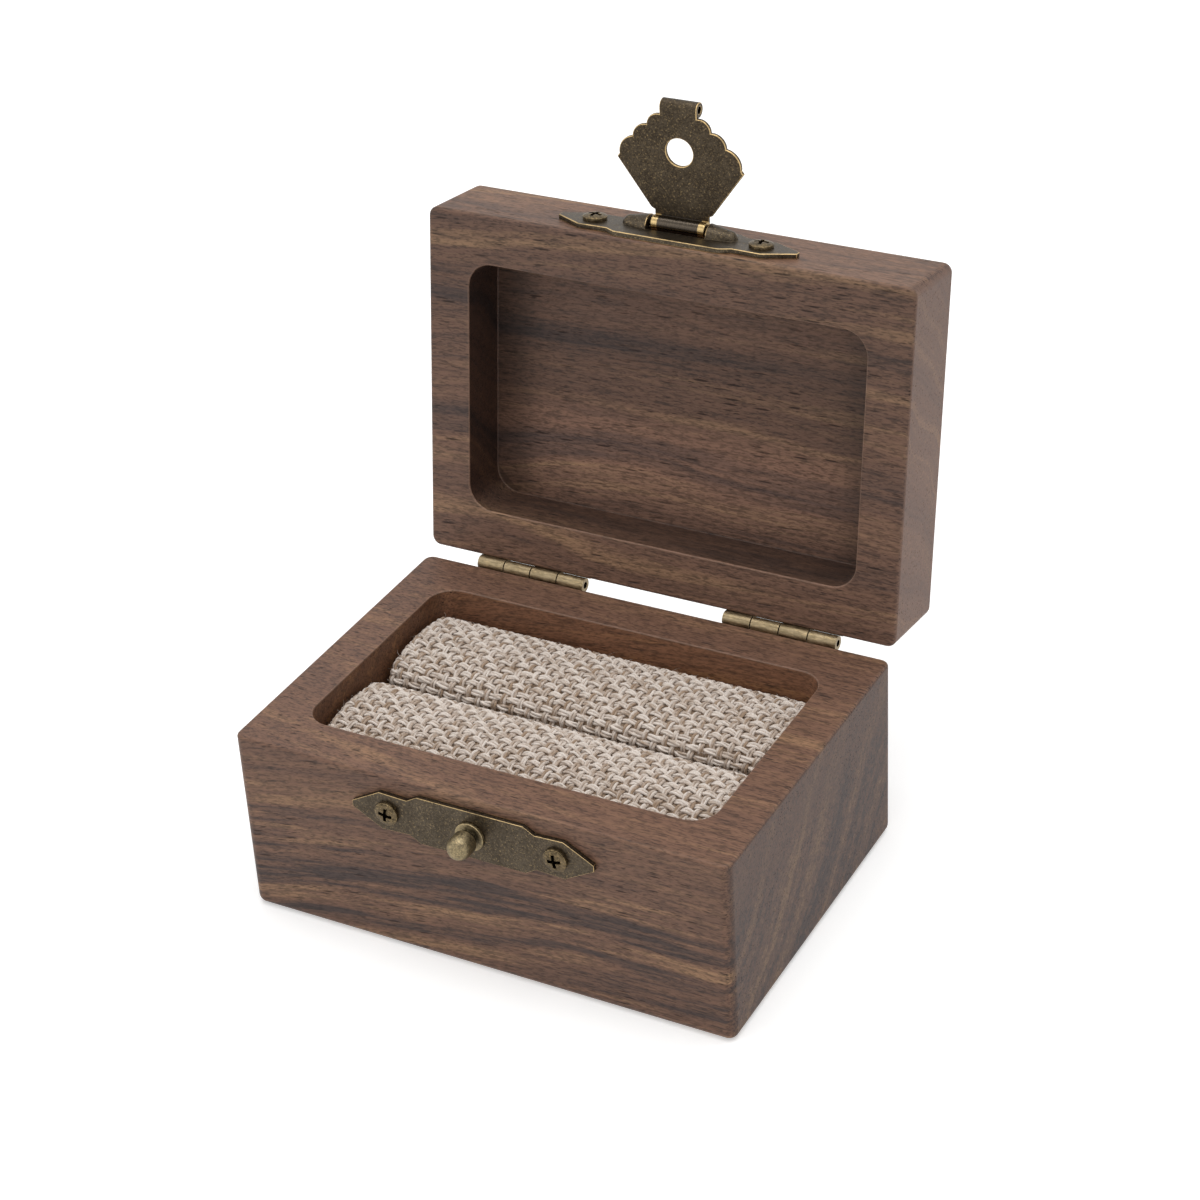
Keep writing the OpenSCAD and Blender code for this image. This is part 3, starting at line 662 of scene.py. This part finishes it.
def card_material():
    """Grey-brown board with flecks of pulp."""
    material, tree, shader = new_material("grey_card")
    vector = object_mm(tree)
    flecks = noise_of(tree, stretched(tree, vector, (0.4, 1.0, 1.0)), 3.0, 4.0, 0.7)
    clouds = noise_of(tree, vector, 0.15, 2.0)
    amount = math_of(tree, "MULTIPLY_ADD", flecks, 0.6, math_of(tree, "MULTIPLY", clouds, 0.4))
    shade = mix_colour(tree, spread(tree, amount, 0.35, 0.65), colour("#74695a"), colour("#978b79"))
    finish_shader(tree, shader, shade, 0.85, (flecks, 0.3, 0.1 * MM))
    return material


# ---------- the rolls, in millimetres ----------

END_ARC = math.pi / 2 * ROLL_END_R
TOP_HALF = ROLL_L / 2 - ROLL_END_R
CURVE_STEPS = 24
SIDE_STEPS = 40
SECTION_STEP = 0.15
SECTION_SOFTENING = 12
CROWN_MIDDLE = 0.2


def half_section():
    """Half of the roll's cross-section from the crown down: arc, y, z, normal's y, normal's z."""
    shoulder_z = ROLL_H - ROLL_CROWN - ROLL_SHOULDER_R
    flat = ROLL_D / 2 - ROLL_SHOULDER_R
    points = []
    for i in range(CURVE_STEPS + 1):
        y = flat * i / CURVE_STEPS
        rise = ROLL_CROWN * math.cos(math.pi / 2 * y / flat)
        points.append((y, shoulder_z + ROLL_SHOULDER_R + rise))
    for i in range(1, CURVE_STEPS + 1):
        a = math.pi / 2 * (1 - i / CURVE_STEPS)
        points.append((flat + ROLL_SHOULDER_R * math.cos(a), shoulder_z + ROLL_SHOULDER_R * math.sin(a)))
    for i in range(1, SIDE_STEPS + 1):
        z = shoulder_z * (1 - i / SIDE_STEPS)
        points.append((ROLL_D / 2 - ROLL_WAIST * math.sin(math.pi * z / shoulder_z), z))
    points = np.array(points)
    arc = np.concatenate([[0], np.cumsum(np.linalg.norm(np.diff(points, axis=0), axis=1))])
    s = np.arange(0, arc[-1], SECTION_STEP)
    y = np.interp(s, arc, points[:, 0])
    z = np.interp(s, arc, points[:, 1])
    # The crown's edge is rounded over, as cloth is
    for _ in range(SECTION_SOFTENING):
        y[1:-1] = (y[:-2] + 2 * y[1:-1] + y[2:]) / 4
        z[1:-1] = (z[:-2] + 2 * z[1:-1] + z[2:]) / 4
    ty = np.gradient(y)
    tz = np.gradient(z)
    length = np.hypot(ty, tz)
    return s, y, z, -tz / length, ty / length


SECTION = half_section()


def on_section(v):
    """Point and outward normal of the section at signed arc v from the crown."""
    s, *curves = SECTION
    a = min(abs(v), s[-1])
    side = 1 if v >= 0 else -1
    y, z, ny, nz = (np.interp(a, s, curve) for curve in curves)
    return side * y, z, side * abs(ny) if a > CROWN_MIDDLE else 0.0, abs(nz)


def end_inset(u):
    """X, inset, turn of the normal and way down the end, at signed arc u along the roll."""
    side = 1 if u >= 0 else -1
    a = abs(u)
    if a <= TOP_HALF:
        return u, 0.0, 0.0, 0.0
    turn = min((a - TOP_HALF) / ROLL_END_R, math.pi / 2)
    x = TOP_HALF + ROLL_END_R * math.sin(turn)
    inset = ROLL_END_R * (1 - math.cos(turn))
    down = max(0.0, a - TOP_HALF - END_ARC)
    return side * x, inset, side * turn, down


def on_roll(u, v):
    """Point and outward normal of the padded roll at arcs u along X and v over the section."""
    x, inset, turn, down = end_inset(u)
    y, z, ny, nz = on_section(v)
    # Towards an end the section is drawn in, and on the end itself it goes down
    point = Vector((x, y - ny * inset, z - nz * inset)) - Vector((0.0, ny, nz)) * down
    return point, Vector((math.sin(turn), ny * math.cos(turn), nz * math.cos(turn)))


# ---------- the woven covers ----------

YARN_PITCH = 1.5
YARN_JITTER = 0.08
YARN_LIFT = 0.28
YARN_WANDER = 0.08
PLY_R = 0.225
PLY_SPREAD = 0.27
PLY_STACK = 0.12
PLY_TURN = 7.5
PLY_SIDES = 6
YARN_STEPS = 4
COVER_SKIN = YARN_LIFT + PLY_STACK + PLY_R + 0.03
# Rows over the top and on each end, and how far the weave reaches from the crown's middle and down an end
TOP_ROWS = 11
END_ROWS = 5
WEAVE_DOWN = 15.5
END_DOWN = 7.0
# How far round an end's rounding the cross yarns and the side rows reach
CROSS_ROUND = 0.92
SIDE_ROUND = 0.98
# How far yarns lean from cream to tan: whole yarns, and the palest to the darkest ply of one
LINEN = 0.2
JUTE = 0.5
PLY_TONES = ((-0.3, -0.1), (-0.2, 0.15), (0.05, 0.45))
WEAVE_SEEDS = {-1: 11, 1: 23}
FUZZ_COUNT = 5200
FUZZ_PER_LONG_ONE = 8
FUZZ_TOP = 6
FUZZ_R = 0.024
FUZZ_RINGS = 4
FUZZ_SIDES = 3


def pulled(u, v):
    """Arcs of a spot of the cloth after the weave has been pulled a little out of square."""
    du = 0.22 * math.sin(0.19 * u + 0.9) * math.cos(0.31 * v + 0.4) + 0.10 * math.sin(0.53 * v + 0.35 * u)
    dv = 0.20 * math.sin(0.16 * u + 2.1) + 0.09 * math.sin(0.47 * u + 0.4 * v)
    return u + du, v + dv


def lengthwise(v):
    """The path of a yarn that runs along the roll, v over the section."""
    return lambda t: on_roll(*pulled(t, v))


def crosswise(u):
    """The path of a yarn that runs over the section, u along the roll."""
    return lambda t: on_roll(*pulled(u, t))


def spaced(count, rng):
    """Where the yarns of one direction lie, each a little off its place."""
    middle = (count - 1) / 2
    return [(i - middle) * YARN_PITCH + rng.uniform(-YARN_JITTER, YARN_JITTER) for i in range(count)]


def add_tube(faces, base, rings, sides):
    """Adds the faces of a tube with both its ends, from the rings of points that start at base."""
    for i in range(rings - 1):
        a = base + i * sides
        b = a + sides
        for j in range(sides):
            k = (j + 1) % sides
            faces.append((a + j, a + k, b + k, b + j))
    faces.append(tuple(base + j for j in reversed(range(sides))))
    tip = base + (rings - 1) * sides
    faces.append(tuple(tip + j for j in range(sides)))


def yarn_frames(path, crossings, first_over, phase, wander):
    """Rings' places along a yarn that goes over and under at the crossings.

    Each is (centre, across, up, arc, lift), and the lift is 1 on top of a crossing and -1 under it.
    """
    def over(i):
        return 1.0 if (i + first_over) % 2 == 0 else -1.0

    spots = []
    for i in range(len(crossings) - 1):
        for k in range(YARN_STEPS):
            f = k / YARN_STEPS
            t = crossings[i] + (crossings[i + 1] - crossings[i]) * f
            spots.append((t, over(i) * math.cos(math.pi * f)))
    spots.append((crossings[-1], over(len(crossings) - 1)))
    line = []
    for t, lift in spots:
        point, normal = path(t)
        line.append((point + normal * (lift * YARN_LIFT - COVER_SKIN), normal, t, lift))
    frames = []
    for i, (centre, normal, t, lift) in enumerate(line):
        along = (line[min(i + 1, len(line) - 1)][0] - line[max(i - 1, 0)][0]).normalized()
        across = normal.cross(along).normalized()
        aside = across * (YARN_WANDER * math.sin(wander * t + phase))
        frames.append((centre + aside, across, along.cross(across), t, lift))
    return frames


def lay_yarn(path, crossings, first_over, seed, cloth, tan):
    """Adds one yarn of three plies: path(t) gives point and normal, crossings are where it passes others."""
    rng = random.Random(seed)
    points, faces, tones, under_shades, uvs = cloth
    phase = rng.uniform(0, 2 * math.pi)
    wander = rng.uniform(0.35, 0.6)
    thick = rng.uniform(0.9, 1.08)
    ply_tones = [tan + rng.uniform(low, high) for low, high in PLY_TONES]
    rng.shuffle(ply_tones)
    frames = yarn_frames(path, crossings, first_over, phase, wander)
    for ply, ply_tone in enumerate(ply_tones):
        base = len(points)
        for centre, across, up, t, lift in frames:
            turn = phase + 2 * math.pi * (ply / 3 + t / PLY_TURN)
            swell = thick * (1 + 0.07 * math.sin(1.9 * t + phase) + rng.uniform(-0.06, 0.06))
            # A yarn spreads on top of a crossing and gathers under the next
            spread_out = PLY_SPREAD * swell * (1.0 + 0.10 * lift)
            middle = centre + across * (spread_out * math.cos(turn)) + up * (PLY_STACK * math.sin(turn))
            radius = PLY_R * swell
            tone = ply_tone + 0.12 * math.sin(0.8 * t + phase * 3)
            # Painted shade: the yarn darkens where it dips under a crossing, and more on the underside of
            # each ply
            depth = max(0.0, -lift) * 0.55
            for j in range(PLY_SIDES):
                a = 2 * math.pi * j / PLY_SIDES
                points.append(middle + across * (radius * math.cos(a)) + up * (radius * math.sin(a)))
                tones.append(tone)
                under_shades.append(depth + (0.25 if math.sin(a) < -0.3 else 0.0))
                uvs.append((t, j / PLY_SIDES))
        add_tube(faces, base, len(frames), PLY_SIDES)


def add_fuzz(rng, cloth):
    """Adds many short fibres and a few long ones that stand off the yarns."""
    points, faces, tones, under_shades, uvs = cloth
    yarn_points = len(points)
    for number in range(FUZZ_COUNT):
        start = points[rng.randrange(yarn_points)]
        outward = 1 if start.z > ROLL_H - FUZZ_TOP else 0.2
        out = Vector((rng.uniform(-1, 1), rng.uniform(-1, 1), rng.uniform(-0.2, 0.7) * outward)).normalized()
        bend = Vector((rng.uniform(-1, 1), rng.uniform(-1, 1), rng.uniform(-0.8, 0.3))).normalized()
        length = rng.uniform(0.9, 2.0) if number % FUZZ_PER_LONG_ONE == 0 else rng.uniform(0.3, 0.9)
        base = len(points)
        for ring in range(FUZZ_RINGS):
            f = ring / (FUZZ_RINGS - 1)
            centre = start + out * (length * f * (1 - 0.35 * f)) + bend * (0.5 * length * f * f)
            r = FUZZ_R * (1 - 0.6 * f)
            for k in range(FUZZ_SIDES):
                a = 2 * math.pi * k / FUZZ_SIDES
                points.append(centre + Vector((math.cos(a) * r, math.sin(a) * r, math.sin(a + 1) * r)))
                tones.append(0.1)
                under_shades.append(0.0)
                uvs.append((f, k / FUZZ_SIDES))
        add_tube(faces, base, FUZZ_RINGS, FUZZ_SIDES)


def woven_cover(name, side):
    """The burlap of one roll as real yarns in plain weave, with loose fibres."""
    rng = random.Random(WEAVE_SEEDS[side])
    cloth = ([], [], [], [], [])

    # Long yarns run along X over the top and down both ends
    rows = spaced(TOP_ROWS, rng)
    columns = spaced(int(2 * (TOP_HALF + END_ARC + END_DOWN) / YARN_PITCH), rng)
    for i, v in enumerate(rows):
        lay_yarn(lengthwise(v), columns, i, rng.random(), cloth, LINEN)
    # Cross yarns run over the section and down the front and the rear
    more = int((WEAVE_DOWN - rows[-1]) / YARN_PITCH)
    side_rows = [rows[-1] + YARN_PITCH * k for k in range(1, more + 1)]
    all_rows = [-v for v in reversed(side_rows)] + rows + side_rows
    for j, u in enumerate(columns):
        if abs(u) <= TOP_HALF + END_ARC * CROSS_ROUND:
            lay_yarn(crosswise(u), all_rows, j + 1 - more, rng.random(), cloth, JUTE)
    # Rows on the sides
    round_columns = [u for u in columns if abs(u) <= TOP_HALF + END_ARC * SIDE_ROUND]
    first = columns.index(round_columns[0])
    for k, v in enumerate(side_rows):
        for face in (-1, 1):
            row = first + (len(rows) + k if face > 0 else -1 - k)
            lay_yarn(lengthwise(face * v), round_columns, row, rng.random(), cloth, LINEN)
    # Rows on the ends
    for end in (-1, 1):
        for k in range(1, END_ROWS + 1):
            u = end * (TOP_HALF + END_ARC + (k - 0.5) * YARN_PITCH)
            j = min(range(len(columns)), key=lambda n: abs(columns[n] - u))
            lay_yarn(crosswise(columns[j]), rows, j + 1, rng.random(), cloth, JUTE)
    add_fuzz(rng, cloth)

    points, faces, tones, under_shades, uvs = cloth
    place = Vector((0.0, side * ROLL_Y, ROLL_FOOT))
    piece = new_mesh(name, [p + place for p in points], faces)
    mesh = piece.data
    for attribute, values in (("tone", tones), ("under_shade", under_shades)):
        made = mesh.attributes.new(attribute, "FLOAT", "POINT")
        made.data.foreach_set("value", values)
    corner_point = np.empty(len(mesh.loops), dtype=np.int32)
    mesh.loops.foreach_get("vertex_index", corner_point)
    layer = mesh.uv_layers.new(name="UVMap")
    layer.data.foreach_set("uv", np.array(uvs, dtype=np.float32)[corner_point].ravel())
    edit_all(piece, (bpy.ops.mesh.normals_make_consistent, {"inside": False}))
    bpy.ops.object.shade_smooth()
    return piece


# ---------- what lies under the weave ----------

LINING_GAP = 0.1
LINING_STEPS = (0.2, 0.4, 0.6, 0.8, 1.0)
LINING_COLUMNS = 24
LINING_ROWS = 61
LINING_CREASE = math.radians(50)
ONE_LINING_POINT = 0.001 * MM
FOAM_SIDE_PLAY = 0.6
FOAM_TOP_PLAY = 0.4
FOAM_EDGE_R = 1.2
FOAM_SAG = 0.35
FOAM_CREASE = math.radians(40)


def cover_body(name, side, inset):
    """Closed padded shell of a roll under its yarns."""
    end_columns = [TOP_HALF + END_ARC * f for f in LINING_STEPS]
    us = [-u for u in reversed(end_columns)]
    us += list(np.linspace(-TOP_HALF, TOP_HALF, LINING_COLUMNS)) + end_columns
    vs = list(np.linspace(-SECTION[0][-1], SECTION[0][-1], LINING_ROWS))
    points = []
    for u in us:
        for v in vs:
            point, normal = on_roll(u, v)
            point = point - normal * inset
            points.append((point.x, point.y + side * ROLL_Y, max(point.z, 0.0) + ROLL_FOOT))
    n = len(vs)
    faces = []
    for i in range(len(us) - 1):
        for j in range(n - 1):
            faces.append((i * n + j, (i + 1) * n + j, (i + 1) * n + j + 1, i * n + j + 1))
        faces.append((i * n + n - 1, (i + 1) * n + n - 1, (i + 1) * n, i * n))
    faces.append(tuple(range(n)))
    last = (len(us) - 1) * n
    faces.append(tuple(last + j for j in reversed(range(n))))
    piece = new_mesh(name, points, faces)
    edit_all(
        piece,
        (bpy.ops.mesh.remove_doubles, {"threshold": ONE_LINING_POINT}),
        (bpy.ops.mesh.normals_make_consistent, {"inside": False}),
    )
    bpy.ops.object.shade_smooth_by_angle(angle=LINING_CREASE)
    return piece


def foam_bar(name, side):
    """Foam bar with softened edges and a slight crown."""
    bpy.ops.object.select_all(action="DESELECT")
    bpy.ops.mesh.primitive_cube_add(size=1, location=(0, side * ROLL_Y * MM, (ROLL_FOOT + FOAM_H / 2) * MM))
    piece = bpy.context.object
    piece.name = name
    piece.data.name = name
    length, depth, height = FOAM_L - FOAM_SIDE_PLAY, FOAM_D - FOAM_SIDE_PLAY, FOAM_H - FOAM_TOP_PLAY
    piece.scale = (length * MM, depth * MM, height * MM)
    bpy.ops.object.transform_apply(location=True, rotation=False, scale=True)
    put_modifier(piece, "BEVEL", width=FOAM_EDGE_R * MM, segments=4)
    edit_all(piece, (bpy.ops.mesh.subdivide, {"number_cuts": 3}))
    low = (ROLL_FOOT + FOAM_TOP_PLAY / 2) * MM
    for vertex in piece.data.vertices:
        x = vertex.co.x / (FOAM_L * MM / 2)
        y = (vertex.co.y - side * ROLL_Y * MM) / (FOAM_D * MM / 2)
        rise = (vertex.co.z - low) / (FOAM_H * MM)
        vertex.co.z -= FOAM_SAG * MM * rise * (x ** 4 + y ** 4)
    bpy.ops.object.shade_smooth_by_angle(angle=FOAM_CREASE)
    return piece


# ---------- build the pieces ----------

# Millimetres: how far the blocks' edges are eased, and how near a hollow's other side lies
BLOCK_EASE = 0.2
BLOCK_HOLLOW = 2.5
HARDWARE_HOLLOW = 1.2
# The share of the easing that the edges away from the pocket get
BLOCK_SLIGHT = 0.25

lid_turn = math.radians(LID_OPEN)
grain = walnut_grain()
base_walnut = walnut(
    "base_walnut", grain, turn=(0, 0, 0), move=(37, 11, 4), bend=1.17, cast=(0.95, 0.94, 0.97),
    streaky=(0.021, 0.52, 1.25), streaks=0.36, pore_size=0.9, drift=(), floor_painted_light=(), painted_top_light=(1.0, 1.0, 1.0),
    end_tint=colour("#2e2423"), walls=((0.84, 0.73, 0.58), (1.35, 1.2, 1.0)), corners=(0.030, 0.033, 0.5),
)
lid_walnut = walnut(
    "lid_walnut", grain, turn=(lid_turn, 0, 0), move=(-14, 52, 61), bend=0.6, cast=(1.0, 1.03, 1.11),
    streaky=(0.0, 0.9, 0.9), streaks=0.16, pore_size=1.15, drift=((0.050, 0.080, 1.0, 0.77),),
    floor_painted_light=((0.039, 0.047, 1.15, 1.42), (0.051, 0.058, 1.0, 0.63), (0.064, 0.073, 1.0, 1.34)),
    painted_top_light=(1.27, 1.24, 1.14), end_tint=colour("#7c6154"),
    walls=((0.27, 0.23, 0.21), (0.57, 0.57, 0.56)), corners=(0.0240, 0.0300, 0.4),
)
aged = patina()
plate_bronze = bronze("plate_bronze", aged, "#3c352c", "#574e42", "#c7ab7c", rubbed=0.15)
flap_bronze = bronze(
    "flap_bronze", aged, "#332c24", "#4e4539", "#c4a878", rubbed=0.15, bump=0.35,
    barrel=(FLAP_BARREL_Y, FLAP_BARREL_Z, FLAP_BARREL_R, FLAP_BARREL_END),
)
screw_bronze = bronze("screw_bronze", aged, "#413829", "#6f614c", "#c6aa79", rubbed=0.35)
knob_bronze = bronze("knob_bronze", aged, "#5e5544", "#968869", "#c6ac80", rubbed=0.4, edge=0.25)
# The patina of the hinge barrels is drawn out along X
barrel_bronze = bronze(
    "barrel_bronze", aged, "#76684f", "#9a8a6f", "#cdb388", rubbed=0.4, scale=(260, 1000, 1000),
)
pin_steel = bronze("pin_steel", aged, "#2b2721", "#4b4438", "#8f836d", rubbed=0.05)
yarn = burlap_yarn()
backing = cover_backing()
cream_foam = foam_material()
grey_card = card_material()

lid_faces = Vector((0, -math.sin(lid_turn), -math.cos(lid_turn)))
for node, body, material, opening in (
    ("base_box", "base", base_walnut, Vector((0, 0, 1))),
    ("lid_box", "lid", lid_walnut, lid_faces),
):
    block = worked_copy(node, node.replace("_box", "_block"))
    ease_edges(block, BLOCK_EASE, slight=BLOCK_SLIGHT)
    mark_hollows(block, BLOCK_HOLLOW)
    mark_pocket(block, opening)
    finish_piece(block, material, body, [node])

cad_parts["insert_card"].data.materials.clear()
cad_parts["insert_card"].data.materials.append(grey_card)

for place, side in (("front", -1), ("rear", 1)):
    cloth = woven_cover(place + "_roll_weave", side)
    finish_piece(cloth, yarn, "base", [place + "_roll_cover"])
    lining = cover_body(place + "_roll_lining", side, COVER_SKIN + LINING_GAP)
    finish_piece(lining, backing, "base", [place + "_roll_cover"])
    bar = foam_bar(place + "_foam_bar", side)
    finish_piece(bar, cream_foam, "base", [place + "_roll_foam"])

BOTH_HINGES = ("left_hinge_", "right_hinge_")
# Where a part is fitted, its node's last words, body, material, how far its edges are eased, slot
HARDWARE = (
    (("catch_",), "plate", "base", plate_bronze, 0.16, "antique_bronze"),
    (("catch_",), "knob", "base", knob_bronze, 0.12, "antique_bronze"),
    (("catch_",), "screws", "base", screw_bronze, 0.07, "screw_bronze"),
    (BOTH_HINGES, "base_leaf", "base", barrel_bronze, 0.17, "antique_bronze"),
    (BOTH_HINGES, "base_screws", "base", screw_bronze, 0.05, "screw_bronze"),
    (BOTH_HINGES, "pin", "base", pin_steel, 0.1, "pin_steel"),
    (BOTH_HINGES, "lid_leaf", "lid", barrel_bronze, 0.17, "antique_bronze"),
    (BOTH_HINGES, "lid_screws", "lid", screw_bronze, 0.05, "screw_bronze"),
    (("hasp_",), "plate", "lid", plate_bronze, 0.14, "antique_bronze"),
    (("hasp_",), "screws", "lid", screw_bronze, 0.07, "screw_bronze"),
    (("hasp_",), "pin", "lid", pin_steel, 0.1, "pin_steel"),
    (("hasp_",), "flap", "hasp", flap_bronze, 0.12, "flap_bronze"),
)
for places, last_words, body, material, ease, slot in HARDWARE:
    for place in places:
        node = place + last_words
        part = worked_copy(node, node + "_worn")
        ease_edges(part, ease, whole=node == "hasp_flap")
        mark_hollows(part, HARDWARE_HOLLOW)
        finish_piece(part, material, body, [node])


# ---------- camera, floor and light ----------

PHOTO_SIDE = 1200
FOCAL_PIXELS = 2886.9
SENSOR_WIDTH = 36
CAMERA_RIGHT = Vector((0.884216, 0.464276, -0.051084))
CAMERA_UP = Vector((-0.204719, 0.483529, 0.851052))
CAMERA_FORWARD = Vector((-0.419824, 0.742056, -0.522590))
CAMERA_PLACE = Vector((0.179880, -0.305825, 0.264496))

# Name, place, what it is aimed at, width and power
SOFTBOXES = (
    ("overhead_softbox", (0.05, 0.05, 0.85), (0, 0, 0.03), 0.8, 5.2),
    ("front_left_softbox", (-0.75, -0.70, 0.50), (0, 0, 0.04), 0.7, 1.9),
    ("right_softbox", (0.85, -0.25, 0.35), (0, 0, 0.04), 0.5, 0.6),
)


def add_camera(scene):
    """The camera at the photograph's place and angle."""
    lens = bpy.data.cameras.new("photo_camera")
    lens.sensor_fit = "HORIZONTAL"
    lens.sensor_width = SENSOR_WIDTH
    lens.lens = FOCAL_PIXELS / PHOTO_SIDE * SENSOR_WIDTH
    lens.clip_start = 0.01
    camera = bpy.data.objects.new("photo_camera", lens)
    scene.collection.objects.link(camera)
    columns = (CAMERA_RIGHT, CAMERA_UP, -CAMERA_FORWARD, CAMERA_PLACE)
    camera.matrix_world = Matrix([[c[i] for c in columns] for i in range(3)] + [[0, 0, 0, 1]])
    scene.camera = camera


def seen_directly(tree):
    """1 for the rays of the camera and of reflections, 0 for those that light the object."""
    rays = add_node(tree, "ShaderNodeLightPath").outputs
    direct = math_of(tree, "MAXIMUM", rays["Is Camera Ray"], rays["Is Glossy Ray"])
    return math_of(tree, "MAXIMUM", direct, rays["Is Transmission Ray"])


def add_floor():
    """The pale floor; away from the box it is as white as the studio behind it."""
    bpy.ops.object.select_all(action="DESELECT")
    bpy.ops.mesh.primitive_plane_add(size=4, location=(0, 0, 0))
    floor = bpy.context.object
    floor.name = "studio_floor"
    material, tree, shader = new_material("studio_white")
    where = add_node(tree, "ShaderNodeTexCoord").outputs["Object"]
    distance = add_node(tree, "ShaderNodeVectorMath", {0: where}, operation="LENGTH").outputs["Value"]
    glow = spread(tree, distance, 0.15, 1.0, 0.40, 0.75)
    glow = math_of(tree, "MULTIPLY", seen_directly(tree), glow)
    for name, value in (
        ("Base Color", (0.88, 0.88, 0.875, 1)), ("Roughness", 0.9), ("Specular IOR Level", 0.0),
        ("Emission Color", (1, 1, 1, 1)), ("Emission Strength", glow),
    ):
        feed(tree, shader.inputs[name], value)
    floor.data.materials.append(material)


def add_world(scene):
    """White studio walls that light the object softly."""
    world = bpy.data.worlds.new("studio_world")
    scene.world = world
    world.use_nodes = True
    tree = world.node_tree
    tree.nodes.clear()
    ambient = add_node(tree, "ShaderNodeBackground", {"Color": (1, 1, 1, 1), "Strength": 0.40}).outputs[0]
    white = add_node(tree, "ShaderNodeBackground", {"Color": (1, 1, 1, 1), "Strength": 1.0}).outputs[0]
    both = add_node(tree, "ShaderNodeMixShader", {0: seen_directly(tree), 1: ambient, 2: white}).outputs[0]
    add_node(tree, "ShaderNodeOutputWorld", {"Surface": both})


def add_softboxes(scene):
    """The studio's lamps."""
    for name, place, aim, size, power in SOFTBOXES:
        light = bpy.data.lights.new(name, "AREA")
        light.shape = "SQUARE"
        light.size = size
        light.energy = power
        lamp = bpy.data.objects.new(name, light)
        scene.collection.objects.link(lamp)
        direction = Vector(aim) - Vector(place)
        lamp.rotation_mode = "QUATERNION"
        lamp.rotation_quaternion = direction.to_track_quat("-Z", "Y")
        lamp.location = place


studio = bpy.context.scene
studio.view_settings.view_transform = "Standard"
add_camera(studio)
add_floor()
add_world(studio)
add_softboxes(studio)
